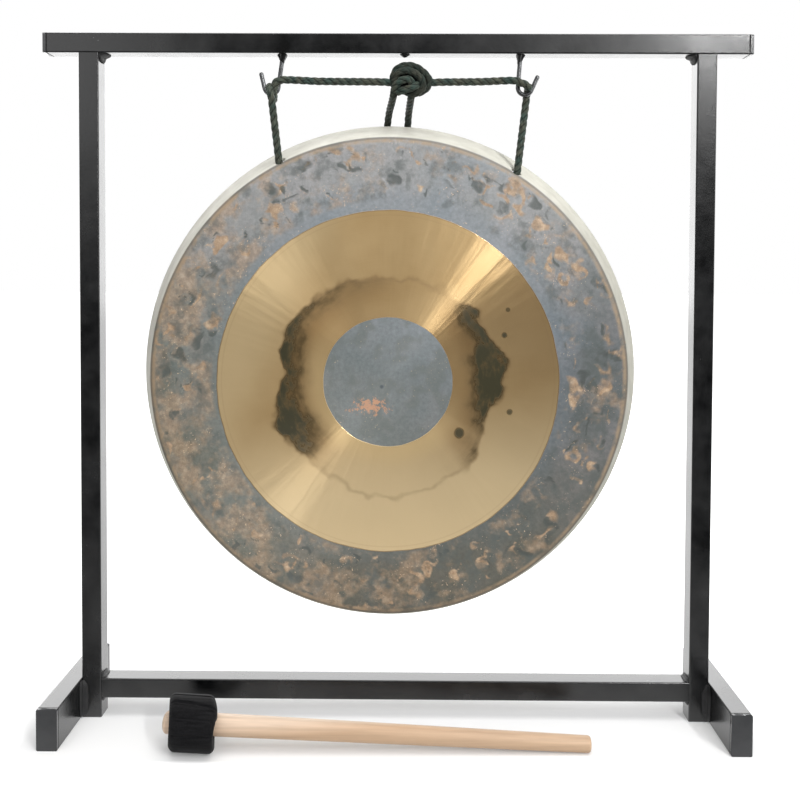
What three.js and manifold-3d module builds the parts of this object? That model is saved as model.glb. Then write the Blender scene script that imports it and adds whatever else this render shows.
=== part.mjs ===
// Table-top gong: a welded stand of square tube, a bronze gong slung on a cord, and its mallet.
// Millimetres, +Z up. X runs along the beam, -Y is the side that the gong faces.
// The origin is under the middle of the whole set, on the surface that it stands on.
import * as THREE from "three";
import { mergeVertices } from "three/addons/utils/BufferGeometryUtils.js";
import Module from "manifold-3d";

const wasm = await Module();
wasm.setup();

// Fits
const GAP = 0.3;
const OVERRUN = 5;

// Square tube of the frame
const TUBE = 12.7;
const TUBE_WALL = 1.2;
const TUBE_CORNER = 0.9;

// Frame, which is sized round the gong
const GONG_SIDE_ROOM = 25;
const GONG_UNDER_ROOM = 31.7;
const BEAM_OVERHANG = 22.8;
const RAIL_CLEARANCE = 12.7;

// Feet, of rectangular tube on edge
const FOOT_HEIGHT = 25.4;
const FOOT_LENGTH = 92;

// End plugs of the beam and feet
const PLUG_HEAD = 2.4;
const PLUG_DEPTH = 7;
const PLUG_PLAY = 0.15;

// Weld beads
const BEAM_BEAD = 4.6;
const RAIL_BEAD = 3;
const FOOT_BEAD = 4.2;
const ROOT_WELD_RADIUS = 4;
const ROOT_WELD_DROP = 3.6;
const NUB_RADIUS = 2.6;
const NUB_DROP = 2.4;
const NUB_PLACE = 4.7;

// Hooks of round wire
const WIRE = 3;
const HOOK_BEND_RADIUS = 4.5;
const HOOK_DROP = 24.8;
const HOOK_TIP = 10.3;
const HOOK_PLACE_LEFT = -81;
const HOOK_PLACE_RIGHT = 82;
const SHANK_LEAN_LEFT = 8;
const SHANK_LEAN_RIGHT = -4;
const TIP_LEAN_LEFT = 13;
const TIP_LEAN_RIGHT = 24;

// Gong
const GONG_DIAMETER = 331;
const GONG_DEPTH = 32;
const GONG_CROWN = 1.5;
const GONG_BEND = 8;
const GONG_FLARE = 21;
const FACE_WALL = 1.3;
const RIM_WALL = 1.8;
const GONG_PLACE = -4.7;
const HOLE_DIAMETER = 7.6;
const HOLE_ANGLE_LEFT = 27;
const HOLE_ANGLE_RIGHT = 31.6;

// Cord
const CORD = 4.8;
const SLING_DROP = 43.75;
const CORD_BEND = 5;
const CORD_HOLE_DROP = 3.2;
const CORD_HOLE_SHIFT = 1.2;
const RUN_RISE = 8.2;

// Knot in the cord
const KNOT_WIDTH = 27;
const KNOT_HEIGHT = 18;
const KNOT_THICKNESS = 17;
const KNOT_PLACE = 9.2;
const KNOT_TURNS = 3;
const KNOT_RIDGE_SHARE = 0.12;
const KNOT_TWIST_SHARE = 0.4;
const KNOT_OUTLINE_SHARES = [
  [0, -1], [0.66, -0.99], [0.88, -0.95], [0.97, -0.84], [1, -0.62], [1, -0.36], [0.99, -0.1],
  [0.95, 0.16], [0.87, 0.4], [0.75, 0.6], [0.59, 0.77], [0.4, 0.9], [0.2, 0.98], [0, 1],
];

// Loose ends of the cord
const TAIL_DROP = 40;
const TAIL_CLEARANCE = 3.6;
const TAIL_RISE = 9;
const TAIL_PLACE_LEFT = -2.3;
const TAIL_PLACE_RIGHT = 9.1;
const TAIL_SLANT_LEFT = -4.6;
const TAIL_SLANT_RIGHT = -2.2;

// Mallet
const MALLET_LENGTH = 259.4;
const HANDLE_HEAD_END = 12.9;
const HANDLE_BUTT_END = 9.6;
const HANDLE_ROUND = 1.6;
const HANDLE_STAND_OUT = 3.4;
const HEAD_DIAMETER = 32;
const HEAD_LENGTH = 29.6;
const HEAD_ROUND = 3;
const WRAP_THICKNESS = 3;
const MALLET_PLACE = -139.6;
const MALLET_FORWARD = 43.7;
const MALLET_TURN = 0.45;

// Facet counts
const GONG_SEGMENTS = 84;
const FACE_STEPS = 5;
const BEND_STEPS = 5;
const ROUND_SIDES = 24;
const CORD_SIDES = 8;
const WIRE_SIDES = 8;
const SLING_STEPS = 150;
const RUN_STEPS = 20;
const HOOK_STEPS = 32;

const rad = THREE.MathUtils.degToRad;

// Outline of the gong's wall, as radius and setback behind the middle of its face
function gongOutline() {
  const flare = rad(GONG_FLARE);
  const straight = GONG_DEPTH - GONG_CROWN - GONG_BEND * (1 - Math.sin(flare));
  const faceRadius = GONG_DIAMETER / 2 - straight * Math.tan(flare) - GONG_BEND * Math.cos(flare);
  const front = [];
  const back = [];
  for (let i = 0; i < FACE_STEPS; i += 1) {
    const share = i / FACE_STEPS;
    front.push(new THREE.Vector2(faceRadius * share, GONG_CROWN * share * share));
    back.push(new THREE.Vector2(faceRadius * share, GONG_CROWN * share * share + FACE_WALL));
  }
  for (let i = 0; i <= BEND_STEPS; i += 1) {
    const share = i / BEND_STEPS;
    const turn = -Math.PI / 2 + (Math.PI / 2 - flare) * share;
    const wall = FACE_WALL + (RIM_WALL - FACE_WALL) * share;
    const centre = GONG_CROWN + GONG_BEND;
    front.push(new THREE.Vector2(
      faceRadius + GONG_BEND * Math.cos(turn), centre + GONG_BEND * Math.sin(turn)));
    back.push(new THREE.Vector2(
      faceRadius + (GONG_BEND - wall) * Math.cos(turn), centre + (GONG_BEND - wall) * Math.sin(turn)));
  }
  const edge = new THREE.Vector2(GONG_DIAMETER / 2, GONG_DEPTH);
  front.push(edge);
  back.push(new THREE.Vector2(
    edge.x - RIM_WALL * Math.cos(flare), GONG_DEPTH));
  return { front, back, faceRadius };
}

const gongWall = gongOutline();
const gongLoop = [...gongWall.front, ...gongWall.back.slice().reverse()];

// Setback of the gong's centre of weight, from its outline turned about its axis
function balanceSetback(loop) {
  let volume = 0;
  let moment = 0;
  for (let i = 0; i < loop.length; i += 1) {
    const a = loop[i];
    const b = loop[(i + 1) % loop.length];
    const dr = b.x - a.x;
    const dy = b.y - a.y;
    volume += (dy / 2) * (a.x * a.x + a.x * dr + (dr * dr) / 3);
    moment += (dy / 2) * (
      a.x * a.x * a.y + (2 * a.x * dr * a.y + a.x * a.x * dy) / 2
      + (dr * dr * a.y + 2 * a.x * dr * dy) / 3 + (dr * dr * dy) / 4);
  }
  return moment / volume;
}

// The cord's holes lie level with the balance, so that the gong hangs upright under them
const holeSetback = balanceSetback(gongLoop);
const holeRadius = GONG_DIAMETER / 2 - (GONG_DEPTH - holeSetback) * Math.tan(rad(GONG_FLARE))
  - RIM_WALL / 2;
const gongHeight = RAIL_CLEARANCE + TUBE + GONG_UNDER_ROOM + GONG_DIAMETER / 2;
const holeLeft = new THREE.Vector3(
  GONG_PLACE - holeRadius * Math.sin(rad(HOLE_ANGLE_LEFT)), 0,
  gongHeight + holeRadius * Math.cos(rad(HOLE_ANGLE_LEFT)));
const holeRight = new THREE.Vector3(
  GONG_PLACE + holeRadius * Math.sin(rad(HOLE_ANGLE_RIGHT)), 0,
  gongHeight + holeRadius * Math.cos(rad(HOLE_ANGLE_RIGHT)));

// Places that follow from the sizes
const swingHeight = holeLeft.z + SLING_DROP;
const beamBottom = swingHeight + HOOK_DROP;
const standHeight = beamBottom + TUBE;
const uprightSpread = GONG_DIAMETER + 2 * (GONG_SIDE_ROOM + TUBE);
const beamLength = uprightSpread + 2 * BEAM_OVERHANG;
const rideRadius = WIRE / 2 + CORD / 2 + GAP;
const footPlace = uprightSpread / 2 + TUBE / 2;
const uprightPlace = uprightSpread / 2 - TUBE / 2;
const flatHalf = TUBE / 2 - TUBE_CORNER;
const runHeight = swingHeight + RUN_RISE;

// Finishes
function finish(colour, roughness, metalness) {
  return new THREE.MeshStandardMaterial({ color: colour, roughness, metalness });
}

function blackCoat() {
  return finish(0x35373a, 0.42, 0.2);
}

function weldCoat() {
  return finish(0x26282b, 0.6, 0.2);
}

function plugCoat() {
  return finish(0x303236, 0.5, 0);
}

function bronze() {
  return finish(0xa98e5e, 0.38, 0.9);
}

function cordBlack() {
  return finish(0x2b322e, 0.9, 0);
}

function feltBlack() {
  return finish(0x1d1d1f, 0.98, 0);
}

function beech() {
  return finish(0xd9b48c, 0.55, 0);
}

const group = new THREE.Group();

function piece(name, geometry, material, parent = group) {
  const mesh = new THREE.Mesh(geometry, material);
  mesh.name = name;
  parent.add(mesh);
  return mesh;
}

// Solids for cutting and joining
function solidOf(geometry) {
  const bare = geometry.clone();
  bare.deleteAttribute("normal");
  bare.deleteAttribute("uv");
  const merged = mergeVertices(bare, GAP / 1000);
  return new wasm.Manifold(new wasm.Mesh({
    numProp: 3,
    vertProperties: new Float32Array(merged.attributes.position.array),
    triVerts: new Uint32Array(merged.index.array),
  }));
}

function geometryOf(solid) {
  const mesh = solid.getMesh();
  const geometry = new THREE.BufferGeometry();
  geometry.setAttribute("position", new THREE.BufferAttribute(new Float32Array(mesh.vertProperties), 3));
  geometry.setIndex(new THREE.BufferAttribute(new Uint32Array(mesh.triVerts), 1));
  geometry.computeVertexNormals();
  return geometry;
}

// Outline of a rectangle with round corners
function roundedRectangle(outline, width, height, corner) {
  const x = width / 2;
  const y = height / 2;
  outline.moveTo(corner - x, -y);
  outline.lineTo(x - corner, -y);
  outline.absarc(x - corner, corner - y, corner, -Math.PI / 2, 0);
  outline.lineTo(x, y - corner);
  outline.absarc(x - corner, y - corner, corner, 0, Math.PI / 2);
  outline.lineTo(corner - x, y);
  outline.absarc(corner - x, y - corner, corner, Math.PI / 2, Math.PI);
  outline.lineTo(-x, corner - y);
  outline.absarc(corner - x, corner - y, corner, Math.PI, Math.PI * 1.5);
  return outline;
}

// Hollow tube with round corners, along its own Z
function hollowTube(width, height, length) {
  const shape = roundedRectangle(new THREE.Shape(), width, height, TUBE_CORNER);
  const bore = roundedRectangle(
    new THREE.Path(), width - 2 * TUBE_WALL, height - 2 * TUBE_WALL, TUBE_CORNER / 2);
  shape.holes.push(bore);
  const geometry = new THREE.ExtrudeGeometry(shape, {
    depth: length,
    bevelEnabled: false,
    curveSegments: 3,
  });
  geometry.translate(0, 0, -length / 2);
  return geometry;
}

// End plug: a head flush with the tube outside it and a stub inside it, along its own Z
function endPlug(width, height) {
  const head = new THREE.ExtrudeGeometry(
    roundedRectangle(new THREE.Shape(), width, height, TUBE_CORNER),
    { depth: PLUG_HEAD, bevelEnabled: false, curveSegments: 3 });
  const inset = 2 * (TUBE_WALL + PLUG_PLAY);
  const stub = new THREE.BoxGeometry(
    width - inset - TUBE_CORNER / 2, height - inset - TUBE_CORNER / 2, PLUG_DEPTH + PLUG_HEAD / 2);
  stub.translate(0, 0, PLUG_HEAD / 4 - PLUG_DEPTH / 2);
  return geometryOf(solidOf(head).add(solidOf(stub)));
}

// Fillet bead in an inside corner, its two legs along +X and +Y, running along its own Z
function filletBead(leg, length) {
  const shape = new THREE.Shape();
  shape.moveTo(0, 0);
  shape.lineTo(leg, 0);
  shape.quadraticCurveTo(leg * 0.62, leg * 0.62, 0, leg);
  shape.lineTo(0, 0);
  const geometry = new THREE.ExtrudeGeometry(shape, {
    depth: length,
    bevelEnabled: false,
    curveSegments: 5,
  });
  geometry.translate(0, 0, -length / 2);
  return geometry;
}

// Round bar or cord along a route
function roundAlong(points, diameter, sides, steps) {
  const section = new THREE.Shape();
  for (let i = 0; i <= sides; i += 1) {
    const turn = (2 * Math.PI * i) / sides;
    const x = (diameter / 2) * Math.cos(turn);
    const y = (diameter / 2) * Math.sin(turn);
    if (i === 0) {
      section.moveTo(x, y);
    } else {
      section.lineTo(x, y);
    }
  }
  const route = new THREE.CatmullRomCurve3(points, false, "centripetal");
  return new THREE.ExtrudeGeometry(section, { steps, extrudePath: route, bevelEnabled: false });
}

// Top beam and its end plugs
function addBeam() {
  const beam = piece("top_beam", hollowTube(TUBE, TUBE, beamLength - 2 * PLUG_HEAD), blackCoat());
  beam.rotation.y = Math.PI / 2;
  beam.position.z = standHeight - TUBE / 2;
  for (const [side, sign] of [["left", -1], ["right", 1]]) {
    const plug = piece(`beam_cap_${side}`, endPlug(TUBE, TUBE), plugCoat());
    plug.rotation.y = (sign * Math.PI) / 2;
    plug.position.set(sign * (beamLength / 2 - PLUG_HEAD), 0, standHeight - TUBE / 2);
  }
}

// Uprights, from the floor to the underside of the beam
function addUprights() {
  for (const [side, sign] of [["left", -1], ["right", 1]]) {
    const upright = piece(`upright_${side}`, hollowTube(TUBE, TUBE, beamBottom), blackCoat());
    upright.position.set(sign * uprightPlace, 0, beamBottom / 2);
  }
}

// Bottom rail, between the inner faces of the uprights
function addRail() {
  const rail = piece("bottom_rail", hollowTube(TUBE, TUBE, uprightSpread - 2 * TUBE), blackCoat());
  rail.rotation.y = Math.PI / 2;
  rail.position.z = RAIL_CLEARANCE + TUBE / 2;
}

// Feet, against the outer faces of the uprights, with a plug in each end
function addFeet() {
  for (const [side, sign] of [["left", -1], ["right", 1]]) {
    const foot = piece(`foot_${side}`,
      hollowTube(TUBE, FOOT_HEIGHT, FOOT_LENGTH - 2 * PLUG_HEAD), blackCoat());
    foot.rotation.x = Math.PI / 2;
    foot.position.set(sign * footPlace, 0, FOOT_HEIGHT / 2);
    for (const [end, way] of [["front", -1], ["back", 1]]) {
      const plug = piece(`foot_cap_${side}_${end}`, endPlug(TUBE, FOOT_HEIGHT), plugCoat());
      plug.rotation.x = (-way * Math.PI) / 2;
      plug.position.set(sign * footPlace, way * (FOOT_LENGTH / 2 - PLUG_HEAD), FOOT_HEIGHT / 2);
    }
  }
}

// Weld beads of the frame's joints
function addBeads() {
  for (const [side, sign] of [["left", -1], ["right", 1]]) {
    const innerFace = uprightSpread / 2 - TUBE;
    const beam = piece(`beam_weld_${side}`, filletBead(BEAM_BEAD, 2 * flatHalf), weldCoat());
    beam.rotation.set(Math.PI / 2, 0, 0);
    const beamHolder = new THREE.Group();
    beamHolder.rotation.y = sign > 0 ? Math.PI : Math.PI / 2;
    beamHolder.position.set(sign * innerFace, 0, beamBottom);
    beamHolder.add(beam);
    group.add(beamHolder);
    for (const [level, height, up] of [
      ["top", RAIL_CLEARANCE + TUBE, 1],
      ["under", RAIL_CLEARANCE, -1],
    ]) {
      const bead = piece(`rail_weld_${level}_${side}`, filletBead(RAIL_BEAD, 2 * flatHalf), weldCoat());
      bead.rotation.x = Math.PI / 2;
      const holder = new THREE.Group();
      if (up > 0) {
        holder.rotation.y = sign > 0 ? -Math.PI / 2 : 0;
      } else {
        holder.rotation.y = sign > 0 ? Math.PI : Math.PI / 2;
      }
      holder.position.set(sign * innerFace, 0, height);
      holder.add(bead);
      group.add(holder);
    }
    for (const [end, way] of [["front", -1], ["back", 1]]) {
      const bead = piece(`foot_weld_${side}_${end}`,
        filletBead(FOOT_BEAD, FOOT_HEIGHT - 2 * TUBE_CORNER), weldCoat());
      bead.rotation.z = way > 0
        ? (sign > 0 ? Math.PI / 2 : 0)
        : (sign > 0 ? Math.PI : -Math.PI / 2);
      bead.position.set((sign * uprightSpread) / 2, (way * TUBE) / 2, FOOT_HEIGHT / 2);
    }
  }
}

// Route of one hook in the X-Z plane: a straight shank, a bend and a straight tip, opening outwards
function hookRoute(place, sign, shankLean, tipLean) {
  const centre = new THREE.Vector3(place, 0, swingHeight + HOOK_BEND_RADIUS);
  const from = Math.PI + rad(shankLean);
  const to = 2 * Math.PI - rad(tipLean);
  const at = (turn) => new THREE.Vector3(
    centre.x + sign * HOOK_BEND_RADIUS * Math.cos(turn), 0, centre.z + HOOK_BEND_RADIUS * Math.sin(turn));
  const first = at(from);
  const rise = beamBottom - GAP - first.z;
  const top = new THREE.Vector3(first.x - sign * rise * Math.tan(rad(shankLean)), 0, beamBottom - GAP);
  const points = [top, top.clone().lerp(first, 0.5)];
  for (let i = 0; i <= 2 * BEND_STEPS; i += 1) {
    points.push(at(from + ((to - from) * i) / (2 * BEND_STEPS)));
  }
  const last = points[points.length - 1];
  points.push(new THREE.Vector3(
    last.x + sign * HOOK_TIP * Math.sin(rad(tipLean)), 0, last.z + HOOK_TIP * Math.cos(rad(tipLean))));
  return points;
}

// Hooks under the beam, each with the weld round its root
function addHooks() {
  for (const [side, sign, place, shankLean, tipLean] of [
    ["left", -1, HOOK_PLACE_LEFT, SHANK_LEAN_LEFT, TIP_LEAN_LEFT],
    ["right", 1, HOOK_PLACE_RIGHT, SHANK_LEAN_RIGHT, TIP_LEAN_RIGHT],
  ]) {
    const route = hookRoute(place, sign, shankLean, tipLean);
    piece(`hook_${side}`, roundAlong(route, WIRE, WIRE_SIDES, HOOK_STEPS), blackCoat());
    const collar = new THREE.LatheGeometry([
      new THREE.Vector2(0, -ROOT_WELD_DROP),
      new THREE.Vector2(WIRE / 2 + 2 * GAP, -ROOT_WELD_DROP),
      new THREE.Vector2(ROOT_WELD_RADIUS * 0.72, -ROOT_WELD_DROP * 0.55),
      new THREE.Vector2(ROOT_WELD_RADIUS, -ROOT_WELD_DROP * 0.12),
      new THREE.Vector2(ROOT_WELD_RADIUS, 0),
      new THREE.Vector2(0, 0),
    ], ROUND_SIDES / 2);
    collar.rotateX(Math.PI / 2);
    collar.translate(route[0].x, 0, beamBottom);
    const cutter = new THREE.CylinderGeometry(
      WIRE / 2 + GAP, WIRE / 2 + GAP, 2 * (ROOT_WELD_DROP + OVERRUN), ROUND_SIDES / 2);
    cutter.rotateX(Math.PI / 2);
    cutter.rotateY(-sign * rad(shankLean));
    cutter.translate(route[0].x, 0, beamBottom);
    piece(`hook_weld_${side}`, geometryOf(solidOf(collar).subtract(solidOf(cutter))), weldCoat());
  }
}

// Small drop of weld under the middle of the beam
function addNub() {
  const steps = BEND_STEPS;
  const outline = [];
  for (let i = 0; i <= steps; i += 1) {
    const turn = (Math.PI / 2) * (i / steps);
    outline.push(new THREE.Vector2(NUB_RADIUS * Math.sin(turn), -NUB_DROP * Math.cos(turn)));
  }
  outline.push(new THREE.Vector2(0, 0));
  const geometry = new THREE.LatheGeometry(outline, ROUND_SIDES / 2);
  const nub = piece("beam_nub", geometry, weldCoat());
  nub.rotation.x = Math.PI / 2;
  nub.position.set(NUB_PLACE, NUB_RADIUS - flatHalf, beamBottom);
}

// Gong: a spun and hammered dish with two holes in its rim
function addGong() {
  const dish = new THREE.LatheGeometry(gongLoop, GONG_SEGMENTS);
  let solid = solidOf(dish);
  for (const [sign, angle] of [[-1, HOLE_ANGLE_LEFT], [1, HOLE_ANGLE_RIGHT]]) {
    const drill = new THREE.CylinderGeometry(
      HOLE_DIAMETER / 2, HOLE_DIAMETER / 2, 2 * (RIM_WALL + OVERRUN), ROUND_SIDES / 2);
    drill.rotateX(Math.PI / 2);
    drill.translate(0, holeSetback, holeRadius);
    drill.rotateY(sign * rad(angle));
    solid = solid.subtract(solidOf(drill));
  }
  const gong = piece("gong", geometryOf(solid), bronze());
  gong.position.set(GONG_PLACE, -holeSetback, gongHeight);
}

// Half of the sling: over a hook's wire from front to back, down, and in through the gong's hole
function slingHalf(place, hole, sign) {
  const points = [];
  const startTurn = rad(48);
  const endTurn = -Math.PI / 2;
  for (let i = 0; i <= BEND_STEPS; i += 1) {
    const turn = startTurn + ((endTurn - startTurn) * i) / BEND_STEPS;
    points.push(new THREE.Vector3(
      place, -rideRadius * Math.sin(turn), swingHeight + rideRadius * Math.cos(turn)));
  }
  const corner = new THREE.Vector3(hole.x + sign * CORD_HOLE_SHIFT, 0, hole.z - CORD_HOLE_DROP);
  const legEnd = new THREE.Vector3(corner.x, 0, corner.z + CORD_BEND);
  const legStart = points[points.length - 1];
  for (const share of [0.12, 0.3, 0.55, 0.8]) {
    points.push(legStart.clone().lerp(legEnd, share));
  }
  for (let i = 0; i <= BEND_STEPS; i += 1) {
    const turn = (Math.PI / 2) * (i / BEND_STEPS);
    points.push(new THREE.Vector3(
      corner.x - sign * CORD_BEND * (1 - Math.cos(turn)), 0,
      corner.z + CORD_BEND * (1 - Math.sin(turn))));
  }
  return points;
}

// Cord: two runs at the hooks' height, the sling that carries the gong, the knot and its loose ends
function addCord() {
  const left = slingHalf(HOOK_PLACE_LEFT, holeLeft, -1);
  const right = slingHalf(HOOK_PLACE_RIGHT, holeRight, 1);
  const between = [];
  for (const share of [0.25, 0.5, 0.75]) {
    between.push(left[left.length - 1].clone().lerp(right[right.length - 1], share));
  }
  piece("cord_sling",
    roundAlong([...left, ...between, ...right.slice().reverse()], CORD, CORD_SIDES, SLING_STEPS), cordBlack());

  for (const [side, sign, place, lean] of [
    ["left", -1, HOOK_PLACE_LEFT, SHANK_LEAN_LEFT],
    ["right", 1, HOOK_PLACE_RIGHT, SHANK_LEAN_RIGHT],
  ]) {
    const knotSide = KNOT_PLACE + sign * (KNOT_WIDTH / 2 + GAP);
    const shank = place - sign * (HOOK_BEND_RADIUS
      + (RUN_RISE - HOOK_BEND_RADIUS) * Math.tan(rad(lean)));
    const past = (value) => shank + sign * value;
    piece(`cord_run_${side}`, roundAlong([
      new THREE.Vector3(knotSide, 0, runHeight),
      new THREE.Vector3(knotSide + sign * CORD, 0, runHeight),
      new THREE.Vector3(past(-5 * CORD), -rideRadius / 4, runHeight),
      new THREE.Vector3(past(-2 * CORD), -rideRadius * 0.8, runHeight),
      new THREE.Vector3(past(-CORD / 2), -rideRadius - GAP, runHeight - GAP),
      new THREE.Vector3(past(CORD / 4), -rideRadius - GAP, runHeight - CORD / 4),
    ], CORD, CORD_SIDES, RUN_STEPS), cordBlack());
  }
  addKnot();
  for (const [side, place, slant] of [
    ["left", TAIL_PLACE_LEFT, TAIL_SLANT_LEFT],
    ["right", TAIL_PLACE_RIGHT, TAIL_SLANT_RIGHT],
  ]) {
    const behind = GONG_DEPTH - holeSetback + TAIL_CLEARANCE + CORD / 2;
    const edge = gongHeight + GONG_DIAMETER / 2;
    const over = edge + TAIL_RISE;
    const tail = roundAlong([
      new THREE.Vector3(place, 0, swingHeight),
      new THREE.Vector3(place + slant * 0.3, behind * 0.36, swingHeight - (swingHeight - over) * 0.4),
      new THREE.Vector3(place + slant * 0.75, behind * 0.82, over),
      new THREE.Vector3(place + slant, behind + CORD * 0.2, edge + CORD / 2),
      new THREE.Vector3(place + slant * 1.1, behind + CORD * 0.4, edge - TAIL_DROP / 4),
      new THREE.Vector3(place + slant * 1.2, behind + CORD * 0.4, edge - TAIL_DROP / 2),
    ], CORD, CORD_SIDES, RUN_STEPS);
    const top = new THREE.SphereGeometry(CORD / 2, CORD_SIDES, CORD_SIDES / 2);
    top.rotateX(Math.PI / 2);
    top.translate(place, 0, swingHeight);
    piece(`cord_tail_${side}`, geometryOf(solidOf(tail).add(solidOf(top))), cordBlack());
  }
}

// Knot: a rounded lump with the ridges of its turns running round it at a slant
function addKnot() {
  const outline = KNOT_OUTLINE_SHARES.map(([radius, along]) => new THREE.Vector2(radius, along));
  const geometry = new THREE.LatheGeometry(outline, ROUND_SIDES);
  const position = geometry.attributes.position;
  for (let i = 0; i < position.count; i += 1) {
    const along = position.getY(i);
    const radius = Math.hypot(position.getX(i), position.getZ(i));
    const turn = Math.atan2(position.getX(i), position.getZ(i));
    const wave = Math.cos(KNOT_TURNS * (turn + Math.PI / 2) + KNOT_TWIST_SHARE * 2 * Math.PI * along);
    const grow = 1 - KNOT_RIDGE_SHARE * ((1 - wave) / 2) * (1 - along * along);
    position.setXYZ(
      i,
      along * (KNOT_WIDTH / 2),
      radius * grow * Math.cos(turn) * (KNOT_THICKNESS / 2),
      radius * grow * Math.sin(turn) * (KNOT_HEIGHT / 2));
  }
  geometry.computeVertexNormals();
  const knot = piece("cord_knot", geometry, cordBlack());
  knot.position.set(KNOT_PLACE, 0, swingHeight + CORD / 2 + GAP + KNOT_HEIGHT / 2);
}

// Turned profile of the handle, along its own axis from the head's end
function handleOutline() {
  const big = HANDLE_HEAD_END / 2;
  const small = HANDLE_BUTT_END / 2;
  return [
    new THREE.Vector2(0, 0),
    new THREE.Vector2(big * 0.55, HANDLE_ROUND * 0.2),
    new THREE.Vector2(big * 0.86, HANDLE_ROUND * 0.8),
    new THREE.Vector2(big, HANDLE_ROUND * 1.9),
    new THREE.Vector2(big, HANDLE_STAND_OUT + HEAD_LENGTH),
    new THREE.Vector2(small, MALLET_LENGTH - HANDLE_ROUND),
    new THREE.Vector2(small - HANDLE_ROUND * 0.3, MALLET_LENGTH - HANDLE_ROUND * 0.3),
    new THREE.Vector2(small - HANDLE_ROUND, MALLET_LENGTH),
    new THREE.Vector2(0, MALLET_LENGTH),
  ];
}

// Felt round the mallet's head: outside, two round edges and two ends down to the handle
function wrapOutline() {
  const bore = HANDLE_HEAD_END / 2 + GAP;
  const inside = HEAD_DIAMETER / 2 - WRAP_THICKNESS;
  const outside = HEAD_DIAMETER / 2;
  const loop = [];
  for (const [x, y, start] of [
    [outside - HEAD_ROUND, HEAD_ROUND, -Math.PI / 2],
    [outside - HEAD_ROUND, HEAD_LENGTH - HEAD_ROUND, 0],
  ]) {
    for (let i = 0; i <= BEND_STEPS; i += 1) {
      const turn = start + (Math.PI / 2) * (i / BEND_STEPS);
      loop.push(new THREE.Vector2(x + HEAD_ROUND * Math.cos(turn), y + HEAD_ROUND * Math.sin(turn)));
    }
  }
  loop.push(new THREE.Vector2(bore, HEAD_LENGTH));
  loop.push(new THREE.Vector2(bore, HEAD_LENGTH - WRAP_THICKNESS));
  loop.push(new THREE.Vector2(inside, HEAD_LENGTH - WRAP_THICKNESS));
  loop.push(new THREE.Vector2(inside, WRAP_THICKNESS));
  loop.push(new THREE.Vector2(bore, WRAP_THICKNESS));
  loop.push(new THREE.Vector2(bore, 0));
  loop.push(loop[0].clone());
  return loop;
}

// Core of the mallet's head, inside the felt and round the handle
function coreOutline() {
  const bore = HANDLE_HEAD_END / 2 + GAP;
  const outside = HEAD_DIAMETER / 2 - WRAP_THICKNESS - GAP;
  const end = WRAP_THICKNESS + GAP;
  return [
    new THREE.Vector2(bore, end),
    new THREE.Vector2(outside, end),
    new THREE.Vector2(outside, HEAD_LENGTH - end),
    new THREE.Vector2(bore, HEAD_LENGTH - end),
    new THREE.Vector2(bore, end),
  ];
}

// Mallet, lying on the head's edge and the butt in front of the stand
function addMallet() {
  const headEdge = new THREE.Vector2(
    HANDLE_STAND_OUT + HEAD_LENGTH - HEAD_ROUND, HEAD_ROUND - HEAD_DIAMETER / 2);
  const buttEdge = new THREE.Vector2(MALLET_LENGTH - HANDLE_ROUND, HANDLE_ROUND - HANDLE_BUTT_END / 2);
  const run = buttEdge.clone().sub(headEdge);
  const lean = Math.atan2(run.y, run.x)
    + Math.asin((HEAD_ROUND - HANDLE_ROUND) / run.length());
  const mallet = new THREE.Group();
  mallet.rotation.set(0, lean, rad(MALLET_TURN), "ZYX");
  const lowest = headEdge.y * Math.cos(lean) - headEdge.x * Math.sin(lean) - HEAD_ROUND;
  mallet.position.set(MALLET_PLACE, -MALLET_FORWARD, -lowest);
  group.add(mallet);
  const handle = piece("mallet_handle", new THREE.LatheGeometry(handleOutline(), ROUND_SIDES), beech(), mallet);
  handle.rotation.z = -Math.PI / 2;
  const wrap = piece("mallet_head_wrap", new THREE.LatheGeometry(wrapOutline(), ROUND_SIDES),
    feltBlack(), mallet);
  wrap.rotation.z = -Math.PI / 2;
  wrap.position.x = HANDLE_STAND_OUT;
  const core = piece("mallet_head_core", new THREE.LatheGeometry(coreOutline(), ROUND_SIDES),
    finish(0x6b5a48, 0.9, 0), mallet);
  core.rotation.z = -Math.PI / 2;
  core.position.x = HANDLE_STAND_OUT;
}

addBeam();
addUprights();
addRail();
addFeet();
addBeads();
addHooks();
addNub();
addGong();
addCord();
addMallet();

// The set's middle front to back: from the mallet's head to the ends of the feet
const frontMost = MALLET_FORWARD + HEAD_DIAMETER / 2;
const backMost = FOOT_LENGTH / 2;
for (const child of group.children) {
  child.position.y += (frontMost - backMost) / 2;
}

export default group;
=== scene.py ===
import math

import bpy
import numpy as np
from mathutils import Matrix


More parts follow.
